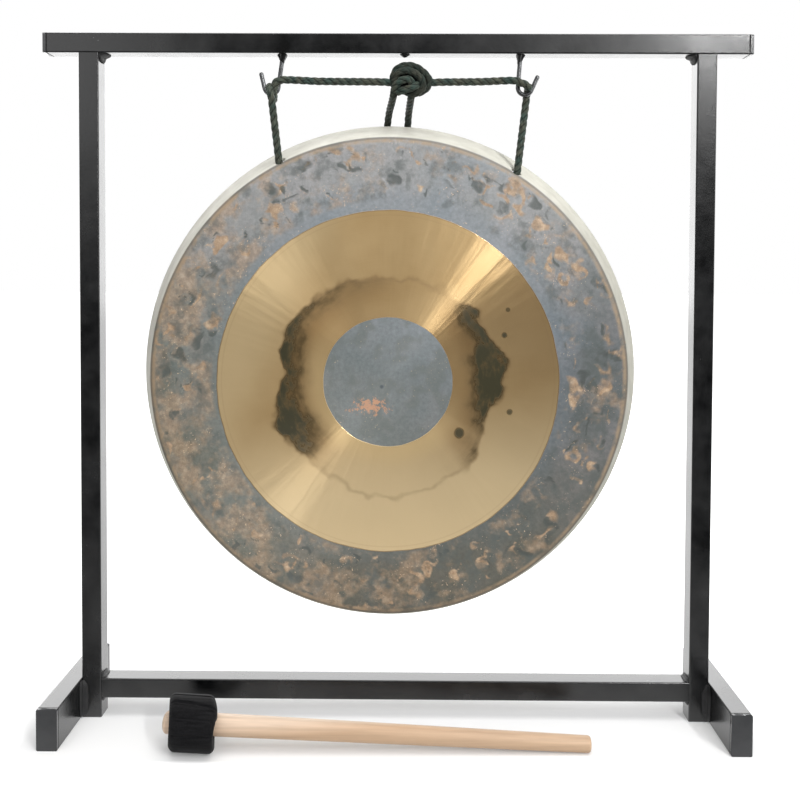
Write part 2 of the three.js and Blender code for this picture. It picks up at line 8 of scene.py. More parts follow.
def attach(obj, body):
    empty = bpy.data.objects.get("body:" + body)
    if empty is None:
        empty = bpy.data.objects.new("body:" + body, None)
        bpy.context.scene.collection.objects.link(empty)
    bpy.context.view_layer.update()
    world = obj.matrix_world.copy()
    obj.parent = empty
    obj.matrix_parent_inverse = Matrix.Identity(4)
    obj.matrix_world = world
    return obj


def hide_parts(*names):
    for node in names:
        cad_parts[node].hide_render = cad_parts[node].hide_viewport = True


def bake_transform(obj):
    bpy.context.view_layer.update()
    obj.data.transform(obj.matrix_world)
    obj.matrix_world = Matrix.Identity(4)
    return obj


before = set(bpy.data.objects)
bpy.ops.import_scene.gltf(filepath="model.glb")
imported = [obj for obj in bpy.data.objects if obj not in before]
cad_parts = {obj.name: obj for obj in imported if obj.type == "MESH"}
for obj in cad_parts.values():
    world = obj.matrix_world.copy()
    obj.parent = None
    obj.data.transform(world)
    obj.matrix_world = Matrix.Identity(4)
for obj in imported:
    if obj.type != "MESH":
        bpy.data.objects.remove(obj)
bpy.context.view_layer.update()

# ---------------------------------------------------------------- View
# The stand is seen square on from a little over half a metre, at two thirds of its height. The lens is
# shifted down, so that the uprights stay nearly parallel. The lens and its middle are in pixels.
picture_size = 800
lens_length, middle_across, middle_down = 856.87, 402.78, 290.55
camera_data = bpy.data.cameras.new("stand_view")
camera_data.sensor_width = 36
camera_data.lens = 36 * lens_length / picture_size
camera_data.shift_x = (picture_size / 2 - middle_across) / picture_size
camera_data.shift_y = (middle_down - picture_size / 2) / picture_size
camera_data.clip_start = 0.02
camera_data.clip_end = 60
camera = bpy.data.objects.new("stand_view", camera_data)
right = np.array([0.99997, 0.00656, 0.00454])
up = np.array([-0.00472, 0.02725, 0.99962])
camera.location = (0.00772, -0.54768, 0.29345)
camera.rotation_euler = Matrix(np.stack([right, up, np.cross(right, up)], 1).tolist()).to_euler()
bpy.context.scene.collection.objects.link(camera)
bpy.context.scene.camera = camera

# ---------------------------------------------------------------- Cord: finish
# One length of black laid cord, three strands of fine yarn twisted together. It is knotted under the
# beam's middle, slung over both hooks and threaded through the gong. Its black is a little green, with a
# painted highlight on the yarns that stand out and painted shade in the grooves between the strands.


def finish_of(name, **sockets):
    """A material with one Principled shader, whose plain sockets are set here, with its tree and its shader.
    The functions that add nodes put them into tree, which is always that of the finish in hand."""
    material = bpy.data.materials.new(name)
    material.use_nodes = True
    shader = material.node_tree.nodes["Principled BSDF"]
    for socket, value in sockets.items():
        shader.inputs[socket.replace("_", " ")].default_value = value
    return material, material.node_tree, shader


def join(output, node, socket):
    """Joins an output to a node's input."""
    tree.links.new(output, node.inputs[socket])


def put(kind, feeds=(), **settings):
    """Adds one shader node. feeds gives each input its value, or the output that it is joined to."""
    node = tree.nodes.new("ShaderNode" + kind)
    for name, value in settings.items():
        setattr(node, name, value)
    for name, value in dict(feeds).items():
        if isinstance(value, bpy.types.NodeSocket):
            join(value, node, name)
        else:
            node.inputs[name].default_value = value
    return node


def ramp(value, stops):
    """Colour ramp with these (place, colour) stops, read at the value."""
    node = put("ValToRGB", {"Fac": value})
    band = node.color_ramp.elements
    while len(band) < len(stops):
        band.new(1)
    for element, (at, colour) in zip(band, stops):
        element.position = at
        element.color = (*colour, 1) if hasattr(colour, "__len__") else (colour, colour, colour, 1)
    return node.outputs["Color"]


def noise(vector, scale, detail=3.0, roughness=0.5):
    """Fractal noise about 0.5, with this many spots to a metre of the vector."""
    feeds = {"Vector": vector, "Scale": scale, "Detail": detail, "Roughness": roughness}
    return put("TexNoise", feeds).outputs["Fac"]


def stretched(vector, scale):
    """The vector, with each of its directions multiplied by its own scale."""
    return put("Mapping", {"Vector": vector, "Scale": scale}).outputs["Vector"]


def laid_over(amount, under, over, kind="MIX"):
    """One colour under another that covers it by an amount from 0 to 1."""
    under, over = (colour if isinstance(colour, bpy.types.NodeSocket) else (*colour, 1)
                   for colour in (under, over))
    feeds = {"Fac": amount, "Color1": under, "Color2": over}
    return put("MixRGB", feeds, blend_type=kind).outputs["Color"]


def embossed(height, strength, distance, **more):
    """Normal of a surface that stands out by the height times the distance in metres."""
    feeds = {"Height": height, "Strength": strength, "Distance": distance, **more}
    return put("Bump", feeds).outputs["Normal"]


cord_black, tree, shader = finish_of(
    "cord_black", Roughness=0.65, Sheen_Weight=0.04, Sheen_Roughness=0.4, IOR=1.22)
yarn = noise(stretched(put("UVMap", uv_map="yarn").outputs["UV"], (2.3, 0.22, 1)), 1.0, 3.0, 0.6)
patches = noise(put("TexCoord").outputs["Object"], 160.0, 2.0)
tint = ramp(patches, [(0.36, (0.027, 0.043, 0.036)), (0.62, (0.050, 0.053, 0.040))])
# painted highlight: the yarns that the bump raises are painted paler
colour = laid_over(1.0, tint, ramp(yarn, [(0.32, 0.3), (0.68, 2.3)]), "MULTIPLY")
# painted shade: the groove value darkens the creases between the strands
strands = put("Attribute", attribute_name="groove").outputs["Fac"]
join(laid_over(strands, colour, (0.003, 0.004, 0.0035)), shader, "Base Color")
join(embossed(yarn, 0.8, 0.0003), shader, "Normal")

# ---------------------------------------------------------------- Cord: loose ends
# The two ends of the cord hang out of the knot and drop behind the gong's rim, where they are cut
# off. Nothing holds them there.
mm = 0.001
CORD = 4.8 * mm
STRAND = 1.84 * mm  # radius of one of its three strands
STRAND_OFFSET = 0.62 * mm  # from the cord's middle to the strand's
LAY = 15.0 * mm  # length in which the strands go once round
hook_plane = 6.85  # depth of the hooks' wires and of the cord over them, in mm


def smooth_route(points, spacing):
    """Centripetal Catmull-Rom curve through the points, as stations an even spacing apart along it.
    Between two points, lines through the nearest four are mixed three times by the root of the distance."""
    p = np.asarray(points, float)
    p = np.vstack([2 * p[0] - p[1], p, 2 * p[-1] - p[-2]])
    knots = np.concatenate([[0], np.cumsum(np.sqrt(np.linalg.norm(np.diff(p, axis=0), axis=1)))])
    at = np.linspace(knots[1], knots[-2], 60 * len(p))
    k = np.clip(np.searchsorted(knots, at, side="right") - 1, 1, len(p) - 3)

    def mixed(a, b, i, j):
        return a + (b - a) * ((at - knots[i]) / (knots[j] - knots[i]))[:, None]

    first, middle, last = (mixed(p[k + n - 1], p[k + n], k + n - 1, k + n) for n in range(3))
    curve = mixed(mixed(first, middle, k - 1, k + 1), mixed(middle, last, k, k + 2), k, k + 1)
    run = np.concatenate([[0], np.cumsum(np.linalg.norm(np.diff(curve, axis=0), axis=1))])
    even = np.linspace(0, run[-1], max(3, round(run[-1] / spacing) + 1))
    return np.stack([np.interp(even, run, curve[:, axis]) for axis in range(3)], 1)


def skin(name, grid, uv=None, uv_name="yarn"):
    """Closed mesh from a grid of stations by sides: the last side meets the first, and a fan closes each end.
    The faces are turned outwards by the sign of the volume that they enclose."""
    rows, sides = grid.shape[:2]
    points = np.vstack([grid.reshape(-1, 3), grid[0].mean(0), grid[-1].mean(0)])
    i, j = (index.ravel() for index in np.meshgrid(np.arange(rows - 1), np.arange(sides), indexing="ij"))
    k = (j + 1) % sides
    quads = np.stack([i * sides + j, i * sides + k, (i + 1) * sides + k, (i + 1) * sides + j], 1)
    faces, loops = quads.tolist(), []
    if uv is not None:
        loops = [np.stack([uv[i, j], uv[i, j + 1], uv[i + 1, j + 1], uv[i + 1, j]], 1).reshape(-1, 2)]
    j = np.arange(sides)
    for row, middle, turn in ((0, rows * sides, -1), (rows - 1, rows * sides + 1, 1)):
        fan = np.stack([np.full(sides, middle), row * sides + j, row * sides + (j + 1) % sides], 1)
        faces += fan[:, ::turn].tolist()
        if uv is not None:
            ends = np.stack([uv[row, j] * 0.5 + uv[row, j + 1] * 0.5, uv[row, j], uv[row, j + 1]], 1)
            loops.append(ends[:, ::turn].reshape(-1, 2))
    triangles = np.vstack([quads[:, [0, 1, 2]], quads[:, [0, 2, 3]]])
    a, b, c = (points[triangles[:, n]] - points.mean(0) for n in range(3))
    mesh = bpy.data.meshes.new(name)
    mesh.from_pydata(points.tolist(), [], faces)
    if uv is not None:
        corners = np.vstack(loops).astype(np.float32).ravel()
        mesh.uv_layers.new(name=uv_name).data.foreach_set("uv", corners)
    if np.einsum("ij,ij->", a, np.cross(b, c)) < 0:
        mesh.flip_normals()
    mesh.polygons.foreach_set("use_smooth", np.full(len(mesh.polygons), True))
    mesh.update()
    made = bpy.data.objects.new(name, mesh)
    bpy.context.scene.collection.objects.link(made)
    return made


def unit(vectors):
    """The vectors, each divided by its length."""
    return vectors / np.linalg.norm(vectors, axis=-1, keepdims=True)


def carried(along, facing):
    """Sideways directions down a route. The first is square to facing, and each next one is the last one
    made square to the route again, so that they never twist about it."""
    sideways = [unit(np.cross(along[0], facing))]
    for ahead in along[1:]:
        sideways.append(unit(sideways[-1] - ahead * (sideways[-1] @ ahead)))
    return np.array(sideways)


def laid_grid(route, facing, start=0.0):
    """Grid of a three-strand cord along a route, and its yarn map in millimetres. Each ring is the outline
    of three round strands: radius = offset cos d + sqrt(strand^2 - offset^2 sin^2 d), where d is the angle to
    the nearest strand, and the ring turns once in each lay. The groove between two strands is painted shade."""
    along = unit(np.gradient(route, axis=0))
    across = carried(along, facing)
    over = np.cross(across, along)
    run = np.concatenate([[0], np.cumsum(np.linalg.norm(np.diff(route, axis=0), axis=1))])
    ring = np.linspace(0, 2 * np.pi, 37)
    near = (ring + np.pi / 3) % (2 * np.pi / 3) - np.pi / 3
    radius = STRAND_OFFSET * np.cos(near) + np.sqrt(STRAND ** 2 - (STRAND_OFFSET * np.sin(near)) ** 2)
    turn = ring[None] + (start - 2 * np.pi * run / LAY)[:, None]
    spoke = np.cos(turn)[..., None] * across[:, None] + np.sin(turn)[..., None] * over[:, None]
    grid = route[:, None] + radius[None, :, None] * spoke
    uv = np.stack([turn * CORD / 2 / mm, np.broadcast_to(run[:, None] / mm, turn.shape)], 2)
    groove = np.clip((np.abs(near) - 0.62) / 0.42, 0, 1) ** 1.5 * 0.85
    return grid[:, :-1], uv, run, np.broadcast_to(groove[None, :-1], (len(route), len(ring) - 1))


def mark(piece, name, values):
    """Writes an attribute with one value for each point of the piece's grid, and 0 for the ends' middles."""
    values = np.append(values.ravel(), (0, 0)).astype(np.float32)
    piece.data.attributes.new(name, "FLOAT", "POINT").data.foreach_set("value", values)


for side, x, slant in (("left", -2.3, -4.6), ("right", 9.1, -2.2)):
    points = np.array([
        (x, hook_plane, 404.5), (x + slant * 0.3, 17.96, 401.54), (x + slant * 0.75, 32.17, 397.1),
        (x + slant, 38.68, 390.5), (x + slant * 1.1, 39.64, 378.1), (x + slant * 1.2, 39.64, 368.1)]) * mm
    route = smooth_route(points, 0.5 * mm)
    grid, uv, run, groove = laid_grid(route, np.array([1.0, 0.0, 0.0]), start=1.2)
    tail = skin(f"cord_end_{side}", grid, uv)
    # painted shade: the loose ends are darker all over, besides their painted groove shade
    mark(tail, "groove", np.maximum(groove, 0.5))
    tail.data.materials.append(cord_black)
    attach(tail, "sling")
    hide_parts(f"cord_tail_{side}")

# ---------------------------------------------------------------- Cord: sling and runs
# The held part is one route. From the knot it passes in front of the hook's shank. At the left it goes once
# round the hook's bend and hangs in front of it, at the right it goes over the bend and hangs behind it. Then
# it goes down and through the gong's hole, across its back, and up to the other hook.
round_left = [
    (-78.2, 2.5, 408.4), (-78.9, 2.6, 405.4), (-79.4, 4.2, 402.3), (-79.6, hook_plane, 401.3),
    (-79.8, 9.6, 402.0), (-80.2, 11.2, 404.8), (-80.8, 10.2, 408.0), (-81.4, 7.4, 409.2),
    (-81.8, 4.2, 408.7), (-81.5, 0.6, 406.8), (-80.6, -1.9, 404.0), (-79.6, -2.2, 400.8)]
over_right = [
    (81.6, 2.3, 410.2), (83.7, 3.0, 408.6), (84.4, 5.0, 408.9), (84.5, 7.2, 409.2), (84.3, 9.6, 408.2),
    (83.9, 11.0, 405.4), (83.5, 10.6, 402.5)]
into_hole = 5.0  # radius of the cord's bend into the hole, in mm
half_routes = []
for sign, over, shank_x, hole_x, hole_z, knot_x in (
        (-1, round_left, -75.98, -75.09, 360.75, -4.3), (1, over_right, 77.76, 76.54, 354.66, 22.7)):
    over = np.array(over)
    corner = np.array([hole_x + sign * 1.2, hook_plane, hole_z - 3.2])
    foot = corner + (0, 0, into_hole)
    leg = over[-1] + (foot - over[-1]) * np.array([0.12, 0.3, 0.55, 0.8])[:, None]
    bend = np.radians(np.linspace(0, 90, 6))
    into = corner + np.stack([
        -sign * into_hole * (1 - np.cos(bend)), 0 * bend, into_hole * (1 - np.sin(bend))], 1)
    run_points = np.array([
        (knot_x - sign * 4.0, 7.6, 412.0), (knot_x + sign * 0.4, 6.9, 412.2),
        (knot_x + sign * 6.0, 6.6, 412.4), (shank_x - sign * 24.0, 5.9, 412.6),
        (shank_x - sign * 9.6, 3.7, 412.8), (shank_x - sign * 2.4, 2.35, 412.5),
        (shank_x + sign * 1.3, 2.4, 411.2)])
    half_routes.append(np.vstack([run_points, over, leg, into]))
left_half, right_half = half_routes
between = left_half[-1] + (right_half[-1] - left_half[-1]) * np.array([0.25, 0.5, 0.75])[:, None]
route = smooth_route(np.vstack([left_half, between, right_half[::-1]]) * mm, 0.55 * mm)
grid, uv, run, groove = laid_grid(route, unit(np.array([1.0, -1.0, 1.0])))
low = route[:, 2] < 409.6 * mm
first = int(np.argmax((route[:, 0] < -79.8 * mm) & low))
last = len(route) - 1 - int(np.argmax(((route[:, 0] > 80.8 * mm) & low)[::-1]))
for name, part, stand_in in (
        ("cord_over_left", slice(0, first + 1), "cord_run_left"),
        ("cord_through_gong", slice(first, last + 1), "cord_sling"),
        ("cord_over_right", slice(last, None), "cord_run_right")):
    held = skin(name, grid[part], uv[part])
    mark(held, "groove", groove[part])
    held.data.materials.append(cord_black)
    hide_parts(stand_in)
    if name == "cord_through_gong":
        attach(held, "sling")
    elif name == "cord_over_left":
        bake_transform(held)
    else:
        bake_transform(held)

# ---------------------------------------------------------------- Cord: knot
# Both ends are tied together in one fat knot. Each turn is a length of the same cord that bends round the
# knot's middle, and the turns lie on and behind one another.
knot_middle = np.array([9.0, 6.6, 414.4])
turns = [
    # topmost turn, from the left edge over the top and down the right side
    [(-1.8, 7.0, 409.6), (-2.5, 5.0, 415.2), (-0.2, 4.6, 420.0), (4.6, 4.4, 422.2), (10.6, 4.6, 421.9),
     (16.4, 5.0, 418.6), (20.4, 5.6, 413.4), (18.6, 7.2, 408.4), (13.0, 8.4, 405.4)],
    # second turn, in front of it and inside its curve
    [(-1.8, 4.4, 412.2), (0.6, 1.9, 416.9), (5.8, 0.9, 418.5), (11.4, 1.4, 416.9), (15.6, 2.4, 412.9),
     (16.2, 3.6, 408.6), (12.4, 5.2, 405.2), (7.6, 8.0, 404.6)],
    # short front turn, from the left edge to the middle
    [(-2.0, 6.2, 406.8), (-0.9, 3.2, 409.4), (2.6, 0.9, 412.0), (6.8, 0.6, 412.9), (9.4, 2.4, 411.2),
     (10.4, 6.0, 409.4)],
    # lower front turn, which comes out beside the right end
    [(12.0, 8.0, 411.6), (12.6, 3.6, 410.4), (11.0, 1.4, 408.4), (7.4, 1.2, 407.0), (3.2, 2.6, 406.2),
     (0.4, 5.6, 405.8)],
    # turn behind, which shows at the top and from the back
    [(-1.0, 9.4, 409.0), (1.0, 11.4, 415.6), (6.6, 12.0, 419.6), (13.4, 11.8, 418.4), (18.6, 10.2, 413.8),
     (17.0, 10.6, 408.6), (10.0, 11.6, 406.2), (3.0, 11.4, 408.0)],
    # last turn across the back
    [(20.4, 8.6, 411.4), (15.0, 12.2, 413.2), (8.6, 12.4, 412.6), (3.0, 12.0, 412.0), (-1.0, 9.0, 412.6)],
    # lengths on their way down to the loose ends
    [(4.6, 8.6, 414.0), (0.2, 8.0, 410.4), (-2.0, 7.2, 406.4), (-2.6, 8.4, 403.4)],
    [(10.4, 9.4, 413.0), (9.6, 8.2, 408.8), (9.2, 7.4, 405.4), (9.0, 8.6, 402.8)],
]
knot_pieces = []
for n, points in enumerate(turns):
    grid, uv, run, groove = laid_grid(
        smooth_route(np.array(points) * mm, 0.55 * mm), np.array([0.3, 1.0, 0.2]), start=0.9 * n)
    knot_pieces.append(skin(f"knot_turn_{n}", grid, uv))
    # painted shade: every turn but the two in front is darker
    mark(knot_pieces[-1], "groove", np.maximum(groove, 0.0 if n in (2, 3) else 0.45))

# a dark egg, painted shade all over, closes the gaps between the turns
polar = np.radians(np.linspace(12, 168, 18))
spin = np.linspace(0, 2 * np.pi, 37)[:-1]
core = knot_middle * mm + np.stack([
    np.cos(polar)[:, None] * 9.2 * mm + 0 * spin, np.sin(polar)[:, None] * np.cos(spin) * 4.6 * mm,
    np.sin(polar)[:, None] * np.sin(spin) * 6.4 * mm], 2)
core_uv = np.stack(np.meshgrid(np.linspace(0, 15, 18), np.linspace(0, 20, 37), indexing="ij"), 2)
knot_pieces.append(skin("knot_middle", core, core_uv))
mark(knot_pieces[-1], "groove", np.ones(core.shape[:2]))
for piece in knot_pieces:
    piece.data.materials.append(cord_black)
with bpy.context.temp_override(active_object=knot_pieces[0], selected_editable_objects=knot_pieces):
    bpy.ops.object.join()
knot = knot_pieces[0]
knot.name = "knot"
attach(knot, "stand")
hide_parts("cord_knot")

# ---------------------------------------------------------------- Frame: tubes, feet and end plugs
# Square and rectangular mild steel tube, cut square, welded and coated with semi-gloss black powder. The
# open ends are closed by plastic plugs of the same black, each with a fine seam behind it.
beam_seam_at, foot_seam_at, seam_half = 0.2236, 0.0436, 0.00045
seam_depth = 0.0003


def calc(operation, *values):
    """One sum, product or comparison of numbers or outputs."""
    return put("Math", dict(enumerate(values)), operation=operation).outputs[0]


def times(first, *others):
    """Product of all the values."""
    for other in others:
        first = calc("MULTIPLY", first, other)
    return first


def plus(first, *others):
    """Sum of all the values."""
    for other in others:
        first = calc("ADD", first, other)
    return first


def rise(value, low, high, start=0.0, end=1.0, even=False):
    """Goes from start to end as the value goes from low to high, on an S-shaped curve or else evenly."""
    feeds = {"Value": value, "From Min": low, "From Max": high, "To Min": start, "To Max": end}
    return put("MapRange", feeds, interpolation_type="LINEAR" if even else "SMOOTHSTEP").outputs[0]


powder = tree = bpy.data.node_groups.new("powder_coat", "ShaderNodeTree")
for name, default in (("Fineness", 900.0), ("Dust", 0.5)):
    socket = powder.interface.new_socket(name, in_out="INPUT", socket_type="NodeSocketFloat")
    socket.default_value = default
for name in ("Shade", "Roughness", "Height", "Seam"):
    powder.interface.new_socket(name, in_out="OUTPUT", socket_type="NodeSocketFloat")
given = powder.nodes.new("NodeGroupInput").outputs
result = powder.nodes.new("NodeGroupOutput")
place = put("TexCoord").outputs["Object"]
clouds = noise(place, 38.0, 4.0, 0.62)
motes = put("TexVoronoi", {"Vector": place, "Scale": 210.0, "Randomness": 1.0}).outputs["Distance"]
rare = ramp(noise(place, 60.0, 1.0), [(0.6, 0.0), (0.68, 1.0)])
dust = times(ramp(motes, [(0.035, 1.0), (0.06, 0.0)]), rare, given["Dust"])
join(plus(rise(clouds, 0.3, 0.7, -0.006, 0.012, even=True), dust), result, "Shade")
across, depth, _ = put("SeparateXYZ", {"Vector": place}).outputs
beam_seam = calc("COMPARE", calc("ABSOLUTE", across), beam_seam_at, seam_half)
foot_seam = calc("COMPARE", calc("ABSOLUTE", plus(depth, -hook_plane * mm)), foot_seam_at, seam_half)
seam = calc("MAXIMUM", beam_seam, foot_seam)
join(plus(rise(clouds, 0.3, 0.7, 0.2, 0.29, even=True), times(seam, 0.5)), result, "Roughness")
join(noise(place, given["Fineness"], 2.0), result, "Height")
join(seam, result, "Seam")

# tubes, plugs and welds share that coat over their own black, with pimples of their own fineness and height
coats = {}
for name, base, fineness, dust, pimple_height, sockets in (
        ("black_coat", (0.005, 0.0052, 0.0055), 800.0, 0.2, 0.00006, {"IOR": 1.5}),
        ("plug_black", (0.026, 0.027, 0.029), 700.0, 0.1, 0.00003, {"IOR": 1.5}),
        ("weld_black", (0.006, 0.006, 0.0065), 500.0, 0.05, 0.00012, {"Roughness": 0.5, "IOR": 1.4})):
    coats[name], tree, shader = finish_of(name, **sockets)
    coat = put("Group", {"Fineness": fineness, "Dust": dust}, node_tree=powder).outputs
    lift = put("CombineColor", dict.fromkeys(range(3), coat["Shade"])).outputs[0]
    colour = laid_over(1.0, base, lift, "ADD")
    join(laid_over(coat["Seam"], colour, (0.002, 0.002, 0.002)), shader, "Base Color")
    if "Roughness" not in sockets:
        join(coat["Roughness"], shader, "Roughness")
    groove = put("Bump", {"Height": coat["Seam"], "Strength": 1.0, "Distance": seam_depth}, invert=True)
    join(embossed(coat["Height"], 0.5, pimple_height, Normal=groove.outputs["Normal"]), shader, "Normal")
weld_black = coats["weld_black"]

for node in ("top_beam", "upright_left", "upright_right", "bottom_rail", "foot_left", "foot_right",
             "beam_cap_left", "beam_cap_right", "foot_cap_left_front", "foot_cap_left_back",
             "foot_cap_right_front", "foot_cap_right_back"):
    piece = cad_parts[node]
    piece.data.materials.clear()
    piece.data.materials.append(coats["plug_black" if "cap" in node else "black_coat"])
    piece.data.polygons.foreach_set("use_smooth", np.full(len(piece.data.polygons), True))
    piece.modifiers.new("merged", "WELD").merge_threshold = 0.00001
    normals = piece.modifiers.new("flats", "WEIGHTED_NORMAL")
    normals.mode = "FACE_AREA"
    normals.weight = 100

# ---------------------------------------------------------------- Frame: weld beads
# Each inner corner of the frame is closed by a fillet weld, laid in short overlapping ripples and coated
# with the frame. It is thickest in its middle and runs out at both ends.
inner_face, outer_face = 190.5, 203.2
beam_under, rail_top, rail_under = 429.3, 25.4, 12.7


def bead_grid(start, end, leg_a, leg_b, size, ripples, seed):
    """Fillet bead between two points of a corner line, its legs along two directions. Across, the outline
    goes from one leg's end to the other's on a bulging curve, with the corner behind it. Along, the size
    follows 1 - t^4, and each ripple adds a rounded sawtooth."""
    t = np.linspace(-1, 1, 61)[:, None]
    s = np.linspace(0, 1, 13)
    uneven = np.random.default_rng(seed).normal(0, 0.05, 61)
    grow = size * (0.35 + 0.65 * (1 - np.abs(t) ** 4))
    grow = grow * (1 + np.convolve(uneven, np.ones(5) / 5, "same")[:, None])
    ridge = 1 + 0.11 * np.abs(np.sin(np.pi * ripples * (t + 0.25 * (s - 0.5) ** 2)))
    bulge = 1 - 0.42 * np.sin(np.pi * s) ** 1.5
    a = np.cos(s * np.pi / 2) * bulge * ridge * grow
    b = np.sin(s * np.pi / 2) * bulge * ridge * grow
    middle = start + (end - start) * ((t[..., None] + 1) / 2)
    face = middle + a[..., None] * leg_a + b[..., None] * leg_b
    corner = np.broadcast_to(middle - 0.0002 * (leg_a + leg_b), (61, 1, 3))
    return np.concatenate([face, corner], 1)


bead_grids = []
for joint, node, z, way_z, size in (
        ("beam", "beam_weld", beam_under, -1, 4.8), ("rail_top", "rail_weld_top", rail_top, 1, 2.4),
        ("rail_under", "rail_weld_under", rail_under, -1, 3.1)):
    for side, sign in (("left", -1), ("right", 1)):
        ends = np.array([(sign * inner_face, 1.2, z), (sign * inner_face, 12.5, z)]) * mm
        bead_grids.append((f"weld_{joint}_{side}", f"{node}_{side}", bead_grid(
            *ends, np.array([-sign, 0, 0]), np.array([0, 0, way_z]), size * mm, 5, len(bead_grids))))
for seed, (side, sign, end, y, way_y) in enumerate((
        ("left", -1, "front", 0.5, -1), ("left", -1, "back", 13.2, 1),
        ("right", 1, "front", 0.5, -1), ("right", 1, "back", 13.2, 1)), 20):
    ends = np.array([(sign * outer_face, y, 0.8), (sign * outer_face, y, 24.6)]) * mm
    bead_grids.append((f"weld_foot_{side}_{end}", f"foot_weld_{side}_{end}", bead_grid(
        *ends, np.array([-sign, 0, 0]), np.array([0, way_y, 0]), 4.4 * mm, 9, seed)))
for name, node, grid in bead_grids:
    bead = skin(name, grid)
    bead.data.materials.append(weld_black)
    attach(bead, "stand")
    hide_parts(node)

# ---------------------------------------------------------------- Hooks
# Two hooks of 3 mm round wire, bent to a J that opens outwards and welded under the beam. The wire is
# plated, bright from the side and dark where it faces the dark room.
wire_radius, tip_radius, bend_radius = 1.5, 1.2, 4.5
bend_height, root_height, tip_length = 409.0, 429.0, 10.3
hook_wire, tree, shader = finish_of("hook_wire", Metallic=1.0)
place = put("TexCoord").outputs["Object"]
scratch = noise(stretched(place, (1800, 1800, 160)), 1.0, 3.0)
worn = times(plus(scratch, noise(place, 260.0, 3.0)), 0.5)
join(ramp(worn, [(0.36, (0.08, 0.082, 0.084)), (0.62, (0.17, 0.173, 0.176))]), shader, "Base Color")
join(rise(scratch, 0.0, 1.0, 0.3, 0.4, even=True), shader, "Roughness")
join(embossed(scratch, 0.1, 0.00005), shader, "Normal")


def round_grid(route, radius, facing, sides=24):
    """Grid of a round bar along a route: each ring is a circle square to it, with a radius of its own."""
    along = unit(np.gradient(route, axis=0))
    across = carried(along, facing)
    over = np.cross(across, along)
    ring = np.linspace(0, 2 * np.pi, sides, endpoint=False)
    spoke = np.cos(ring)[:, None] * across[:, None] + np.sin(ring)[:, None] * over[:, None]
    return route[:, None] + np.broadcast_to(radius, len(route))[:, None, None] * spoke


for side, sign, x, shank_lean, tip_lean, seed in (
        ("left", -1, -81.0, 8, 13, 3), ("right", 1, 82.0, -4, 24, 4)):
    turn = np.radians(np.linspace(180 + shank_lean, 360 - tip_lean, 25))
    bend = np.stack([x + sign * bend_radius * np.cos(turn), 0 * turn + hook_plane,
                     bend_height + bend_radius * np.sin(turn)], 1)
    climb = root_height - bend[0, 2]
    root = bend[0] + (-sign * climb * math.tan(math.radians(shank_lean)), 0, climb)
    tip = bend[-1] + (sign * tip_length * math.sin(math.radians(tip_lean)), 0,
                      tip_length * math.cos(math.radians(tip_lean)))
    shank = root + (bend[0] - root) * np.linspace(0, 1, 24)[:-1, None]
    reach = bend[-1] + (tip - bend[-1]) * np.linspace(0, 1, 14)[1:, None]
    route = np.vstack([shank, bend, reach]) * mm
    radius = np.full(len(route), wire_radius * mm)
    radius[-1] = tip_radius * mm
    hook = skin(f"wire_hook_{side}", round_grid(route, radius, np.array([0.0, 1.0, 0.0])))
    hook.data.materials.append(hook_wire)
    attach(hook, "stand")
    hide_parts(f"hook_{side}")

    # lump of weld round the hook's root, a dome with lobes that leans with the shank, cut flat by the beam
    polar = np.linspace(0.02, 1, 22)[:, None]
    spin = np.linspace(0, 2 * np.pi, 49)[:-1]
    rng = np.random.default_rng(seed)
    lobes = 1 + sum(rng.uniform(0.06, 0.17) * np.cos(k * spin + rng.uniform(0, 6.28)) for k in (2, 3, 5))
    reach_out = np.maximum(1.7, (1.6 + 1.6 * polar ** 1.8) * lobes)
    drop = 4.3 * (1 - polar ** 1.3) * (1 + 0.28 * np.cos(spin + (0.2 if side == "left" else 3.0)))
    follow = sign * drop * math.tan(math.radians(shank_lean))
    lump = np.stack([root[0] + follow + reach_out * np.cos(spin), hook_plane + reach_out * np.sin(spin),
                     429.5 - drop + 0 * spin], 2)
    weld = skin(f"hook_root_weld_{side}", np.clip(lump * mm, (-1, 0.0018, 0.4), (1, 0.0119, 0.4296)))
    weld.data.materials.append(weld_black)
    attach(weld, "stand")
    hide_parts(f"hook_weld_{side}")

# ---------------------------------------------------------------- Drop of weld under the beam
# A small pointed drop of weld metal that is left under the middle of the beam, and coated with it. Its
# radius shrinks with the depth, on three faint lobes.
down = np.linspace(0, 1, 16)[:, None]
spin = np.linspace(0, 2 * np.pi, 33)[:-1]
radius = 3.2 * (1 - down) ** 0.8 * (1 + 0.08 * np.cos(3 * spin)) + 0.35 * (1 - down ** 6)
grid = np.stack([4.7 + radius * np.cos(spin), 4.3 + 0.8 * radius * np.sin(spin),
                 429.4 - 2.1 * down + 0 * spin], 2) * mm
nub = skin("weld_drop", grid)
nub.data.materials.append(weld_black)
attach(nub, "stand")
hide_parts("beam_nub")

# ---------------------------------------------------------------- Gong
# A spun and hammered bronze dish: a flat face with a slight crown, a rounded bend and a flared rim. The
# hammered outer ring and the middle keep their dark heat scale, and the ring between is turned bright.
FACE, CROWN = 148.3, 1.5
BEND, BEND_MIDDLE = 8, 9.5
face_wall, rim_wall = 1.3, 1.8
gong_x, gong_z, gong_front, gong_depth = -4.7, 222.6, -0.28, 32

